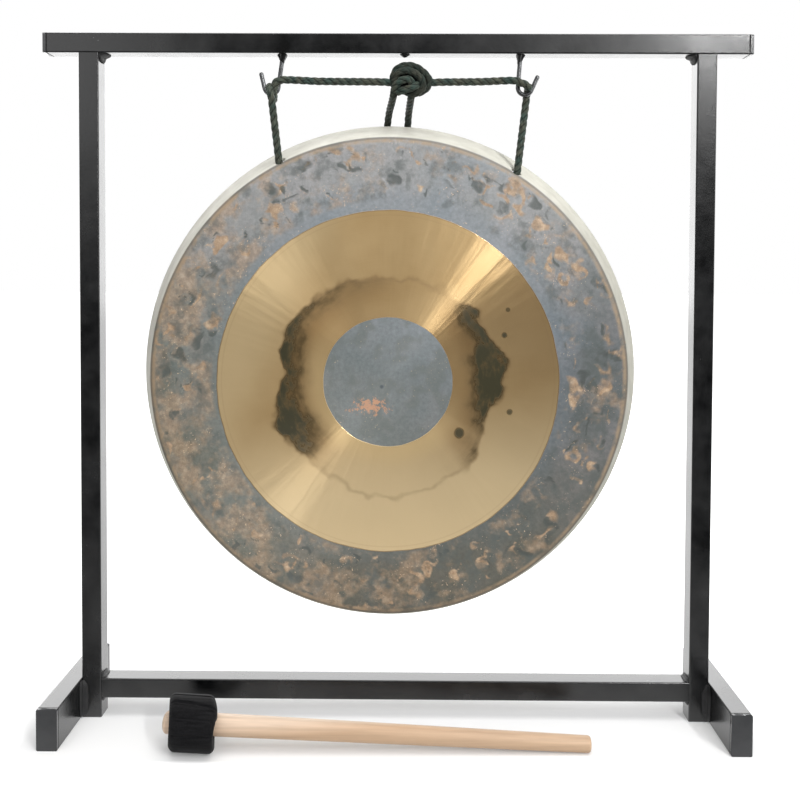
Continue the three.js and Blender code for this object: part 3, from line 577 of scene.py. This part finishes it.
across_face = np.concatenate([[0.6], np.linspace(4, 108, 18), np.linspace(108.8, FACE, 50)])
bend_turn = np.linspace(-np.pi / 2, -math.radians(21), 11)[1:]
flank_r, flank_y = np.linspace(155.77, 165.5, 6), np.linspace(6.63, gong_depth, 6)
outer_r = np.concatenate([across_face, FACE + BEND * np.cos(bend_turn), flank_r[1:]])
outer_y = np.concatenate([
    CROWN * (across_face / FACE) ** 2, BEND_MIDDLE + BEND * np.sin(bend_turn), flank_y[1:]])
lip = np.linspace(0, np.pi, 7)[1:-1]
lip_r = 164.66 + 0.84 * np.cos(lip)
lip_y = gong_depth + 0.5 * np.sin(lip)
inner_across = np.concatenate([np.linspace(FACE, 108, 26), np.linspace(100, 6, 8), [0.6]])
wall = np.linspace(rim_wall, face_wall, 11)[1:]
inner_flank_r, inner_flank_y = np.linspace(163.82, 154.09, 6), np.linspace(gong_depth, 6.63, 6)
inner_r = np.concatenate([inner_flank_r, FACE + (BEND - wall) * np.cos(bend_turn[::-1]), inner_across])
inner_y = np.concatenate([inner_flank_y, BEND_MIDDLE + (BEND - wall) * np.sin(bend_turn[::-1]),
                          face_wall + CROWN * (inner_across / FACE) ** 2])
profile_r = np.concatenate([outer_r, lip_r, inner_r])[:, None]
profile_y = np.concatenate([outer_y, lip_y, inner_y])[:, None]
spin = np.linspace(0, 2 * np.pi, 641)
flat_x = profile_r * np.cos(spin[:-1])
flat_z = profile_r * np.sin(spin[:-1])

# hammer marks: oval bowls over the outer ring, each scorched or bared to copper on its own side, and a row
# of round punch marks above, by angle, radius and kind. A kind under 0.36 is filled with scorch, and one over
# 0.6 with copper.
rng = np.random.default_rng(23)
marks = 230
mark_turn = rng.uniform(0, 2 * np.pi, marks)
mark_r = 116 + 33 * rng.uniform(0, 1, marks) ** 0.75
mark_long = 1.9 + 5.0 * rng.uniform(0, 1, marks) ** 1.4
mark_wide = mark_long * rng.uniform(0.5, 0.85, marks)
mark_lean = mark_turn + rng.normal(np.pi / 2, 0.8, marks)
mark_deep = rng.uniform(0.12, 0.4, marks) * mark_long / 5
mark_kind = rng.uniform(0, 1, marks)
punches = np.array([(np.radians(angle), r, 2.3, 2.2, 0.0, 0.4, kind) for angle, r, kind in (
    (119, 141.5, 0.1), (112.5, 143.0, 0.2), (97.3, 143.2, 0.9), (86.5, 144.6, 0.95), (76.5, 149.0, 0.9),
    (68.5, 144.2, 0.3))])
all_marks = np.vstack([
    np.stack([mark_turn, mark_r, mark_long, mark_wide, mark_lean, mark_deep, mark_kind], 1), punches])

# the marks' outlines are made ragged by 14 sine waves across the face, half for each direction
ways, lengths, shifts = rng.uniform(0, 2 * np.pi, 14), rng.uniform(3.5, 16, 14), rng.uniform(0, 2 * np.pi, 14)
ripples = [
    wave * 0.075 * np.sin((flat_x * math.cos(way) + flat_z * math.sin(way)) * 2 * np.pi / wave + shift)
    for way, wave, shift in zip(ways, lengths, shifts)]
rough_x, rough_z = flat_x + sum(ripples[:7]), flat_z + sum(ripples[7:])
sunk, scorched, coppery = (np.zeros_like(flat_x) for _ in range(3))
for turn, r, long, wide, lean, deep, kind in all_marks:
    off_x, off_z = rough_x - r * math.cos(turn), rough_z - r * math.sin(turn)
    along = (off_x * math.cos(lean) + off_z * math.sin(lean)) / long
    over = (off_z * math.cos(lean) - off_x * math.sin(lean)) / wide
    out = np.hypot(along, over)
    low_side, strength, bared = rng.uniform(0, 2 * np.pi), rng.uniform(0.3, 0.95), rng.uniform(0.35, 1.0)
    way = (along * math.cos(low_side) + over * math.sin(low_side)) / np.maximum(out, 0.05)
    sunk += deep * np.clip(1 - out ** 2, 0, 1) ** 1.5 * (1 + 0.5 * way * out)
    crescent = np.exp(-((out - 0.85) / 0.3) ** 2) * np.clip(0.2 + 0.85 * way, 0, 1)
    filled = np.clip((1.15 - out) / 0.6, 0, 1) * (0.7 + 0.3 * way) * (kind < 0.36)
    scorched = np.maximum(scorched, strength * np.maximum(crescent, filled))
    halo = np.exp(-((out - 1.0) / 0.5) ** 2) * np.clip(0.3 - 0.7 * way, 0, 1)
    inside = np.clip((1.12 - out) / 0.4, 0, 1) * (0.65 - 0.35 * way) * (kind > 0.6)
    coppery = np.maximum(coppery, bared * np.maximum(0.8 * halo, inside))
sunk *= np.clip((profile_r - 110.5) / 2, 0, 1) * np.clip((FACE + 3 - profile_r) / 3, 0, 1)
grid = np.stack([gong_x + flat_x, gong_front + profile_y + sunk, gong_z + flat_z], 2) * mm
along_profile = np.linspace(0, 1, len(profile_r))[:, None]
gong_uv = np.stack(np.broadcast_arrays(spin[None] / (2 * np.pi), along_profile), 2)
gong = skin("gong_dish", grid, gong_uv, uv_name="turned")
mark(gong, "scorched", np.clip(scorched, 0, 1))
mark(gong, "coppery", np.clip(coppery, 0, 1))

# the two holes for the cord, drilled straight through the flared rim
hole_r, hole_radius = 155.05, 3.8
for sign, angle in ((-1, 27), (1, 31.6)):
    lean = math.radians(angle)
    outward = np.array([sign * math.sin(lean), 0, math.cos(lean)])
    middle = np.array([gong_x, hook_plane, gong_z]) + hole_r * outward
    route = (middle + np.array([[-7.0], [7.0]]) * outward) * mm
    drill = skin("drill", round_grid(route, hole_radius * mm, np.array([0.0, 1.0, 0.0]), 40))
    cut = gong.modifiers.new("hole", "BOOLEAN")
    cut.object = drill
    cut.operation = "DIFFERENCE"
    cut.solver = "EXACT"
    drilled = bpy.data.meshes.new_from_object(gong.evaluated_get(bpy.context.evaluated_depsgraph_get()))
    gong.modifiers.clear()
    gong.data = drilled
    bpy.data.objects.remove(drill)

bronze, tree, shader = finish_of("bronze", Anisotropic=1.0, Anisotropic_Rotation=0.25, IOR=1.5)


def minus(value, other):
    """The value less the other."""
    return calc("SUBTRACT", value, other)


def length(vector):
    """Length of the vector."""
    return put("VectorMath", {0: vector}, operation="LENGTH").outputs["Value"]


def shifted(vector, by):
    """The vector plus another."""
    return put("VectorMath", {0: vector, 1: by}, operation="ADD").outputs["Vector"]


def marked(name):
    """The piece's own attribute of this name."""
    return put("Attribute", attribute_name=name).outputs["Fac"]


# from_middle is the distance from the gong's middle, and turned that from the middle of its turned ring,
# which lies a little lower. bright is 1 on the turned ring alone, and the back has none.
place = put("Mapping", {"Vector": put("TexCoord").outputs["Object"],
                        "Location": (-gong_x * mm, 0, -gong_z * mm)}).outputs["Vector"]
sideways, deep, high = put("SeparateXYZ", {"Vector": place}).outputs
flat = put("CombineXYZ", {"X": sideways, "Z": high}).outputs["Vector"]
from_middle = length(flat)
off_centre = shifted(flat, (0.0005, 0, 0.0027))
turned = length(off_centre)
turned_edge = plus(turned, rise(noise(place, 60.0, 2.0), 0.3, 0.7, -0.0002, 0.0002))
ring_inside, ring_outside = (0.0413, 0.0418), (0.1102, 0.1098)
front_skin = rise(deep, 0.00095, 0.00088)
bright = times(rise(turned_edge, *ring_inside), rise(turned_edge, *ring_outside), front_skin)

# heat scale: slate in soft clouds, with copper bared in patches and in the marks. Painted light makes it
# paler towards the top, and painted shade darker towards the bottom and the lower sides
clouds = noise(place, 30.0, 5.0, 0.6)
slate = ramp(clouds, [
    (0.34, (0.125, 0.145, 0.142)), (0.5, (0.178, 0.190, 0.190)), (0.64, (0.240, 0.238, 0.240))])
# painted light and shade: paler towards the top, darker towards the bottom and the lower left
slate = laid_over(rise(high, 0.0, 0.16, 0.0, 0.62), slate, (0.37, 0.365, 0.365))
slate = laid_over(rise(high, -0.02, -0.15, 0.0, 0.6), slate, (0.160, 0.157, 0.138))
slate = laid_over(times(rise(noise(place, 19.0, 2.0), 0.5, 0.66), 0.3), slate, (0.17, 0.22, 0.255))
slate = laid_over(times(rise(from_middle, 0.128, 0.113), 0.45), slate, (0.185, 0.220, 0.250))
painted_shade_low_left = rise(plus(times(sideways, 0.5), high), 0.09, -0.10)
slate = laid_over(painted_shade_low_left, slate, (0.88, 0.83, 0.71), "MULTIPLY")
# painted shade: darker towards the lower right
low_right = rise(minus(sideways, high), 0.0, 0.14)
slate = laid_over(low_right, slate, (0.71, 0.71, 0.72), "MULTIPLY")
grain = noise(place, 420.0, 4.0, 0.65)
slate = laid_over(1.0, slate, ramp(grain, [(0.3, 0.84), (0.7, 1.15)]), "MULTIPLY")
ragged = noise(place, 120.0, 6.0, 0.68)
hammered = rise(from_middle, 0.112, 0.116)
leftward = rise(plus(sideways, times(high, 0.3)), 0.10, -0.12, 0.0, 0.12)
patch = rise(plus(noise(place, 40.0, 4.0, 0.62), times(ragged, 0.3), leftward), 0.68, 0.86)
halo = rise(plus(marked("coppery"), times(minus(ragged, 0.5), 0.7)), 0.2, 0.66)
copper_tone = ramp(noise(place, 210.0, 4.0, 0.7), [
    (0.3, (0.25, 0.165, 0.095)), (0.5, (0.38, 0.255, 0.155)), (0.7, (0.57, 0.42, 0.28))])
copper = calc("MAXIMUM", times(patch, hammered, 0.5), times(halo, 0.85))
scale_face = laid_over(copper, slate, copper_tone)
scorch = rise(plus(marked("scorched"), times(minus(ragged, 0.5), 0.5)), 0.2, 0.74)
scale_face = laid_over(times(scorch, 0.76), scale_face, (0.062, 0.072, 0.066))
soot = rise(plus(noise(place, 64.0, 4.0, 0.66), times(clouds, 0.35)), 0.66, 0.84)
scale_face = laid_over(times(soot, hammered, 0.6), scale_face, (0.085, 0.10, 0.095))
specks = times(rise(noise(place, 800.0, 2.0, 0.6), 0.64, 0.72), rise(noise(place, 55.0, 2.0), 0.48, 0.6))
scale_face = laid_over(times(specks, 0.7), scale_face, (0.74, 0.55, 0.37))

# a patch of bared copper on the middle, its soft dark clouds and few dark spots
cloudy = times(rise(noise(place, 52.0, 4.0, 0.6), 0.49, 0.57), rise(from_middle, 0.0425, 0.040))
scale_face = laid_over(times(cloudy, 0.5), scale_face, (0.115, 0.130, 0.118))
heart = length(stretched(shifted(flat, (0.0122, 0, 0.0185)), (90, 1, 230)))
heart = rise(plus(heart, rise(noise(place, 300.0, 4.0, 0.8), 0.3, 0.7, -0.9, 0.9)), 1.0, 0.4)
scale_face = laid_over(times(heart, front_skin, 0.75), scale_face, (0.55, 0.28, 0.15))
cells = put("TexVoronoi", {"Vector": place, "Scale": 62.0}).outputs
few = rise(put("SeparateColor", {0: cells["Color"]}).outputs[0], 0.7, 0.72)
dots = times(rise(cells["Distance"], 0.13, 0.08), few, rise(from_middle, 0.040, 0.036), front_skin)
scale_face = laid_over(times(dots, 0.8), scale_face, (0.05, 0.065, 0.08))

# turned ring: golden, with fine rings, and painted reflection: a little darker towards the right, darker in a
# wedge above the right, paler at the bottom and the left
grooves = noise(put("CombineXYZ", {"X": turned}).outputs["Vector"], 2600.0, 3.0, 0.7)
gold = ramp(noise(place, 26.0, 3.0, 0.5), [(0.35, (0.71, 0.486, 0.230)), (0.65, (0.82, 0.582, 0.292))])
gold = laid_over(1.0, gold, ramp(grooves, [(0.3, 0.92), (0.7, 1.06)]), "MULTIPLY")
# painted reflection: darker towards the right
gold = laid_over(rise(sideways, -0.02, 0.08, 0.0, 0.30), gold, (0.34, 0.225, 0.10))
# painted reflection: darker in a wedge a little above the right
dull = minus(times(sideways, 0.87), calc("ABSOLUTE", minus(times(high, 0.87), times(sideways, 0.45))))
gold = laid_over(rise(dull, 0.0, 0.07, 0.0, 0.45), gold, (0.30, 0.20, 0.10))
painted_reflection_bottom = rise(minus(high, times(sideways, 0.12)), -0.005, -0.08, 0.0, 0.85)
gold = laid_over(painted_reflection_bottom, gold, (0.98, 0.77, 0.455))
painted_reflection_left = rise(minus(times(high, 0.5), sideways), 0.065, 0.105, 0.0, 0.75)
gold = laid_over(painted_reflection_left, gold, (0.98, 0.75, 0.42))

# its stain, by the hour from the bottom round by the left: how far out it reaches, where its dark part
# starts and how dark it is there, the first two in tenths of a metre
hour = plus(calc("DIVIDE", calc("ARCTAN2", sideways, high), 2 * math.pi), 0.5)
stain_shape = ramp(hour, [
    (0.000, (0.780, 0.50, 0.06)), (0.070, (0.780, 0.56, 0.06)), (0.112, (0.735, 0.61, 0.30)),
    (0.145, (0.765, 0.62, 0.85)), (0.181, (0.800, 0.61, 1.00)), (0.207, (0.755, 0.62, 0.85)),
    (0.222, (0.765, 0.64, 0.85)), (0.243, (0.685, 0.62, 0.95)), (0.260, (0.672, 0.62, 0.95)),
    (0.280, (0.730, 0.65, 0.95)), (0.333, (0.718, 0.66, 0.88)), (0.370, (0.712, 0.66, 0.74)),
    (0.420, (0.700, 0.63, 0.50)), (0.475, (0.665, 0.58, 0.36)), (0.520, (0.650, 0.60, 0.16)),
    (0.590, (0.680, 0.60, 0.08)), (0.622, (0.700, 0.61, 0.45)), (0.645, (0.712, 0.60, 0.88)),
    (0.690, (0.715, 0.62, 0.90)), (0.708, (0.765, 0.60, 1.00)), (0.762, (0.765, 0.58, 1.00)),
    (0.785, (0.708, 0.59, 1.00)), (0.822, (0.698, 0.62, 0.85)), (0.843, (0.715, 0.67, 0.45)),
    (0.864, (0.762, 0.67, 0.60)), (0.892, (0.770, 0.68, 0.22)), (0.930, (0.780, 0.60, 0.08)),
    (1.000, (0.780, 0.50, 0.06))])
reach, starts, darkness = put("SeparateColor", {"Color": stain_shape}).outputs
reach, starts = times(reach, 0.1), times(starts, 0.1)
tear = rise(noise(place, 50.0, 2.6, 0.5), 0.28, 0.72, -0.0036, 0.0036)
stain_at = plus(from_middle, tear)
within = rise(minus(reach, stain_at), -0.0012, 0.0040)
darkest = rise(minus(stain_at, starts), -0.0170, 0.0055)
along_rings = put("CombineXYZ", {"X": times(from_middle, 260.0), "Y": times(hour, 34.0)}).outputs["Vector"]
mottle = plus(times(noise(along_rings, 1.0, 4.0, 0.6), 0.5), times(noise(place, 80.0, 4.0, 0.6), 0.5))
mottle = rise(mottle, 0.36, 0.60, 0.62, 1.0)
thick = times(within, darkest, mottle, darkness)
for spot_x, spot_z, spot_radius, spot_dark in (
        (0.0454, -0.0355, 0.0044, 0.75), (0.0780, -0.0218, 0.0026, 0.7), (0.0740, 0.0275, 0.0028, 0.75),
        (0.0762, 0.0440, 0.0017, 0.6)):
    gap = put("VectorMath", {0: flat, 1: (spot_x, 0, spot_z)}, operation="DISTANCE").outputs["Value"]
    spot = rise(plus(gap, times(tear, 0.3)), spot_radius, spot_radius * 0.4, 0.0, spot_dark)
    thick = calc("MAXIMUM", thick, spot)
tinged = times(within, rise(from_middle, 0.043, 0.060, 0.5, 1.0), rise(darkness, 0.0, 0.7, 0.06, 0.85))
gold = laid_over(tinged, gold, (0.62, 0.55, 0.48), "MULTIPLY")
# painted reflection: paler near the middle at the lower left
painted_reflection_lower_left = rise(plus(times(sideways, 0.7), high), 0.02, -0.03, 0.0, 0.6)
gold = laid_over(times(rise(from_middle, 0.061, 0.045), painted_reflection_lower_left), gold, (0.97, 0.71, 0.36))
outline = times(within, rise(minus(reach, stain_at), 0.0042, 0.0008))
gold = laid_over(times(outline, plus(times(mottle, 0.8), -0.2)), gold, (0.26, 0.17, 0.085))
thick = rise(thick, 0.02, 0.85)
gold = laid_over(thick, gold, ramp(thick, [
    (0.2, (0.27, 0.19, 0.10)), (0.55, (0.11, 0.084, 0.043)), (0.88, (0.042, 0.038, 0.019))]))
gold = laid_over(times(rise(turned_edge, 0.1092, 0.1098), 0.7), gold, (0.24, 0.15, 0.08))
inner_line = times(rise(turned, 0.1062, 0.1068), rise(turned, 0.1076, 0.1070), 0.12)
gold = laid_over(inner_line, gold, (0.40, 0.25, 0.13))

# bend and flared rim: the scale is rubbed off, down to pale bronze, with painted shade towards the right
worn_edge = times(rise(from_middle, 0.1495, 0.1515), rise(from_middle, 0.1545, 0.1525))
surface = laid_over(times(worn_edge, rise(ragged, 0.35, 0.6, 0.15, 0.75)), scale_face, (0.34, 0.25, 0.16))
dark_line = times(rise(from_middle, 0.1522, 0.1530), rise(from_middle, 0.1545, 0.1537))
surface = laid_over(times(dark_line, 0.55), surface, (0.13, 0.115, 0.09))
flank = rise(from_middle, 0.1538, 0.1548)
pale = ramp(noise(place, 90.0, 4.0, 0.6), [(0.3, (0.64, 0.625, 0.55)), (0.7, (0.78, 0.765, 0.69))])
# painted shade: the flank darker towards the right
pale = laid_over(rise(sideways, -0.08, 0.13), pale, (0.70, 0.70, 0.68), "MULTIPLY")
surface = laid_over(flank, surface, pale)
join(laid_over(bright, surface, gold), shader, "Base Color")
shine = times(bright, rise(thick, 0.7, 1.0, 1.0, 0.15))
join(calc("MAXIMUM", times(shine, 0.72), times(flank, 0.12)), shader, "Metallic")
uneven = times(rise(grain, 0.3, 0.7, -0.03, 0.03), minus(1.0, bright))
join(plus(rise(shine, 0.0, 1.0, 0.68, 0.235), uneven), shader, "Roughness")
skin_height = plus(times(ragged, 0.6), times(grain, 0.4))

# the turned ring is not quite even: fine rays run out from its middle, and broad waves lie in it
ray_at = put("VectorMath", {0: off_centre}, operation="NORMALIZE").outputs["Vector"]
ray_at = shifted(ray_at, put("CombineXYZ", {"Y": times(turned, 1.4)}).outputs["Vector"])
rays = times(noise(ray_at, 18.0, 1.5, 0.45), times(turned, 12.0))
turned_height = plus(times(grooves, 0.06), rays, times(noise(place, 22.0, 2.0, 0.5), 2.2))
height = put("Mix", {0: bright, 2: skin_height, 3: turned_height}).outputs[0]
join(embossed(height, 0.6, 0.00022), shader, "Normal")
join(put("Tangent", direction_type="UV_MAP", uv_map="turned").outputs["Tangent"], shader, "Tangent")
gong.data.materials.append(bronze)
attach(gong, "gong")
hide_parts("gong")

# ---------------------------------------------------------------- Mallet
# A turned beech handle that tapers to its butt and runs through the head, a drum of black felt wound
# round a core. It lies in front of the stand on its head and butt.
front_radius, butt_radius, straight_to, handle_end = 6.45, 4.8, 33, 257.8
head_round, butt_round = 3, 1.6
head_edge = np.array([30.0, -13.0])
butt_edge = np.array([handle_end, -3.2])
mallet_turn = math.radians(0.45)
reach = butt_edge - head_edge
mallet_lean = math.atan2(reach[1], reach[0]) + math.asin((head_round - butt_round) / np.linalg.norm(reach))
lowest = head_edge[1] * math.cos(mallet_lean) - head_edge[0] * math.sin(mallet_lean) - head_round
mallet_axis = np.array([math.cos(mallet_turn) * math.cos(mallet_lean),
                        math.sin(mallet_turn) * math.cos(mallet_lean), -math.sin(mallet_lean)])
mallet_start = np.array([-139.6, hook_plane - 43.7, -lowest])

# the handle is turned about that axis: a domed front, a straight part in the head, a taper, a rounded butt
dome = np.linspace(0.1, 1, 10) * np.pi / 2
taper = np.linspace(40, 257, 60)
butt = np.linspace(0, 0.96, 6) * np.pi / 2
along = np.concatenate([3.2 * (1 - np.cos(dome)), np.linspace(8, straight_to, 6), taper,
                        handle_end + butt_round * np.sin(butt)])
slope = (front_radius - butt_radius) * (taper - straight_to) / (handle_end - straight_to)
radius = np.concatenate([front_radius * np.sin(dome) ** 0.8, np.full(6, front_radius), front_radius - slope,
                         butt_radius - butt_round * (1 - np.cos(butt))])
route = (mallet_start + along[:, None] * mallet_axis) * mm
handle = skin("beech_handle", round_grid(route, radius * mm, np.array([0.0, 0.0, 1.0]), 56))
beech, tree, shader = finish_of("beech", IOR=1.45, Roughness=0.5)
place = put("TexCoord").outputs["Object"]
grain = noise(stretched(place, (9, 420, 420)), 1.0, 4.0, 0.6)
broad = noise(stretched(place, (2.2, 70, 70)), 1.0, 2.0)
tone = ramp(broad, [(0.3, (0.58, 0.42, 0.30)), (0.7, (0.68, 0.56, 0.45))])
sideways, _, high = put("SeparateXYZ", {"Vector": place}).outputs
# painted shade: darker and browner along the handle's lower side
band = plus(times(broad, 0.006), calc("MULTIPLY_ADD", sideways, -0.045, high))
tone = laid_over(rise(band, 0.0245, 0.0185, 0.0, 0.8, even=True), tone, (0.45, 0.29, 0.17))
join(laid_over(1.0, tone, ramp(grain, [(0.3, 0.82), (0.7, 1.08)]), "MULTIPLY"), shader, "Base Color")
join(embossed(grain, 0.2, 0.0001), shader, "Normal")
handle.data.materials.append(beech)
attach(handle, "mallet")
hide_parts("mallet_handle")

# the felt: a strip wound round the core. Its layers end in ledges that run aslant along the drum, each with
# a dark line under it, and at the handle the outermost layer stands proud at its top.
core_radius, edge_radius, side_half = 6.9, 4.1, 10.05
t = np.linspace(0, 1, 101)[:, None]
spin = np.linspace(0, 2 * np.pi, 289)[:-1]
degrees = np.degrees(spin)[None]


def degrees_past(angle):
    """How far each side lies past an angle, from -180 to 180."""
    return (degrees - angle + 180) % 360 - 180


to_end = np.minimum(t, 1 - t)
up_face = np.clip(to_end / 0.09, 0, 1)
round_edge = np.clip((to_end - 0.09) / 0.13, 0, 1) * np.pi / 2
down_side = np.clip((to_end - 0.22) / 0.28, 0, 1)
felt_radius = core_radius + 4.9 * up_face + edge_radius * np.sin(round_edge)
from_end = edge_radius * (1 - np.cos(round_edge)) + side_half * down_side
span = np.where(t < 0.5, 3.4 + from_end, 31.7 - from_end)
body = np.sin(round_edge) ** 2
for at, fall, power, height, line in (
        (74, 20, 2.4, 0.75, 0.55), (40, 6, 1.0, 0.45, 0.5), (3, -2, 1.0, 0.15, 0.3), (98, 4, 1.0, 0.3, 0.25)):
    away = degrees_past(at - fall * t ** power)
    ledge = np.clip(away / 2.5, 0, 1) * np.exp(-np.clip(away, 0, None) / 30)
    felt_radius = felt_radius + body * (height * ledge - line * np.exp(-((away + 1.2) / 1.6) ** 2))
flare = np.exp(-(degrees_past(62) / 26) ** 2)
pinch = np.exp(-(degrees_past(-5) / 42) ** 2)
span = span + (1.0 * flare - 2.6 * pinch) * np.clip((t - 0.5) / 0.5, 0, 1) ** 1.5
span = span + 0.25 * felt_radius * np.cos(spin)
to_viewer = unit(np.cross(mallet_axis, np.array([0, 0, 1.0])))
upward = np.cross(to_viewer, mallet_axis)
spokes = np.cos(spin)[:, None] * to_viewer + np.sin(spin)[:, None] * upward
grid = (mallet_start + span[..., None] * mallet_axis + felt_radius[..., None] * spokes) * mm
felt_uv = np.stack(np.broadcast_arrays(np.linspace(0, 100, 289)[None], t * 30), 2)
felt = skin("felt_head", grid, felt_uv, uv_name="felt")
felt_black, tree, shader = finish_of(
    "felt_black", Roughness=0.9, Sheen_Weight=0.06, Sheen_Roughness=0.4, IOR=1.2)
place = put("TexCoord").outputs["Object"]
nap = noise(place, 1500.0, 4.0, 0.7)
pressed = noise(stretched(place, (60, 700, 700)), 1.0, 3.0)
mixed = put("Mix", {0: 0.5, 2: nap, 3: pressed}).outputs[0]
colour = ramp(mixed, [(0.38, (0.0025, 0.0025, 0.003)), (0.64, (0.0115, 0.0115, 0.0125))])
join(colour, shader, "Base Color")
join(embossed(mixed, 0.7, 0.00035), shader, "Normal")
felt.data.materials.append(felt_black)
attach(felt, "mallet")
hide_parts("mallet_head_wrap")

# the core is closed in by the felt
core_wood, tree, shader = finish_of("core_wood", Roughness=0.8)
grain = noise(put("TexCoord").outputs["Object"], 300.0, 3.0)
join(ramp(grain, [(0.3, (0.25, 0.17, 0.10)), (0.7, (0.38, 0.27, 0.17))]), shader, "Base Color")
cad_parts["mallet_head_core"].data.materials.clear()
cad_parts["mallet_head_core"].data.materials.append(core_wood)

# ---------------------------------------------------------------- Floor and light
# A plain white table with a white wall far behind it. A large soft lamp hangs above, and wide ones stand in
# front at both sides and to the right. The turned ring shows the line of a narrow one, in front at the right,
# and the panel behind is seen in reflections alone.
white = (0.76, 0.76, 0.76)
table_front, table_back, table_side = -0.3, 9.0, 8.0
floor_mesh = bpy.data.meshes.new("floor")
floor_mesh.from_pydata([(-table_side, table_front, 0), (table_side, table_front, 0),
                        (table_side, table_back, 0), (-table_side, table_back, 0)], [], [(0, 1, 2, 3)])
floor = bpy.data.objects.new("floor", floor_mesh)
bpy.context.scene.collection.objects.link(floor)

# it glows white towards the camera round the object and behind it, so that only the near shadow is seen, and
# glossy metal sees it bright behind the object and dull in front
white_table, tree, shader = finish_of("white_table", Roughness=0.9, IOR=1.2)
ray = put("LightPath").outputs
across, behind, _ = put("SeparateXYZ", {"Vector": put("TexCoord").outputs["Object"]}).outputs
white_seen = rise(behind, 0.004, 0.11, 0.13, 0.9, even=True)
for value, low, high in ((calc("ABSOLUTE", across), 0.222, 0.26), (behind, -0.046, -0.058)):
    white_seen = calc("MAXIMUM", white_seen, rise(value, low, high, 0.0, 0.9, even=True))
shown = plus(rise(behind, -0.06, 0.08, 0.0, 1.65, even=True), rise(behind, 0.1, 1.0, 0.0, 0.9, even=True))
dulled = times(ray["Is Glossy Ray"], rise(behind, -0.04, -0.10, 0.0, 0.5, even=True))
join(laid_over(dulled, white, (0.1, 0.1, 0.1)), shader, "Base Color")
strength = plus(times(ray["Is Camera Ray"], white_seen), times(ray["Is Glossy Ray"], shown))
glow = put("Emission", {"Color": (1, 1, 1, 1), "Strength": strength})
total = put("AddShader", {0: shader.outputs[0], 1: glow.outputs[0]})
join(total.outputs[0], tree.nodes["Material Output"], "Surface")
floor_mesh.materials.append(white_table)

# the room: an even fill for the light, white for the camera, and for glossy metal a white wall behind, a
# bright side at the right and a pale ceiling
world = bpy.data.worlds.new("white_surround")
bpy.context.scene.world = world
world.use_nodes = True
tree = world.node_tree
ray = put("LightPath").outputs
seen = calc("MAXIMUM", ray["Is Camera Ray"], ray["Is Transmission Ray"])
x, y, z = put("SeparateXYZ", {"Vector": put("TexCoord").outputs["Generated"]}).outputs
wall = rise(y, -0.3, 0.55, 0.16, 1.3, even=True)
side = rise(x, 0.5, 0.9, 0.0, 1.2, even=True)
ceiling = rise(z, 0.3, 0.8, 0.0, 0.6, even=True)
low_right = times(rise(x, 0.1, 0.34, 0.0, 0.13, even=True), rise(z, 0.1, -0.05, even=True))
around = minus(plus(wall, side, ceiling), low_right)
fill = rise(seen, 0.0, 1.0, 0.5, 1.0, even=True)
background = tree.nodes["Background"]
join(put("Mix", {0: ray["Is Glossy Ray"], 2: fill, 3: around}).outputs[0], background, "Strength")
background.inputs["Color"].default_value = (1, 1, 1, 1)

for name, where, aim, size_x, size_y, lean, brightness, gloss_only in (
        ("lamp_above", (0.1, -0.35, 1.75), (0, 0, 0.15), 1.6, 1.1, 0, 3.2, False),
        ("lamp_ring", (0.79, -1.22, 1.095), (0, 0, 0.25), 0.06, 0.8, -30.5, 93.0, False),
        ("lamp_front", (0.69, -1.35, 0.97), (0, 0, 0.25), 1.1, 0.8, 0, 1.2, False),
        ("lamp_left", (-0.87, -1.25, 0.75), (0, 0, 0.25), 0.74, 0.5, 0, 2.1, False),
        ("panel_right", (1.7, 0.1, 0.7), (0, 0, 0.3), 1.3, 1.2, 0, 1.0, False),
        ("panel_behind", (-0.3, 2.3, 1.1), (0, 0, 0.3), 3.6, 2.0, 0, 3.3, True)):
    lamp_data = bpy.data.lights.new(name, "AREA")
    lamp_data.shape = "RECTANGLE"
    lamp_data.size = size_x
    lamp_data.size_y = size_y
    lamp_data.energy = brightness * math.pi * size_x * size_y
    lamp = bpy.data.objects.new(name, lamp_data)
    lamp.visible_diffuse = not gloss_only
    away = unit(np.array(where) - np.array(aim))
    level = unit(np.cross((0, 0, 1), away))
    facing_in = Matrix(np.stack([level, np.cross(away, level), away], 1).tolist())
    lamp.location = where
    lamp.rotation_euler = (facing_in @ Matrix.Rotation(math.radians(lean), 3, "Z")).to_euler()
    bpy.context.scene.collection.objects.link(lamp)

bpy.context.scene.view_settings.view_transform = "Standard"
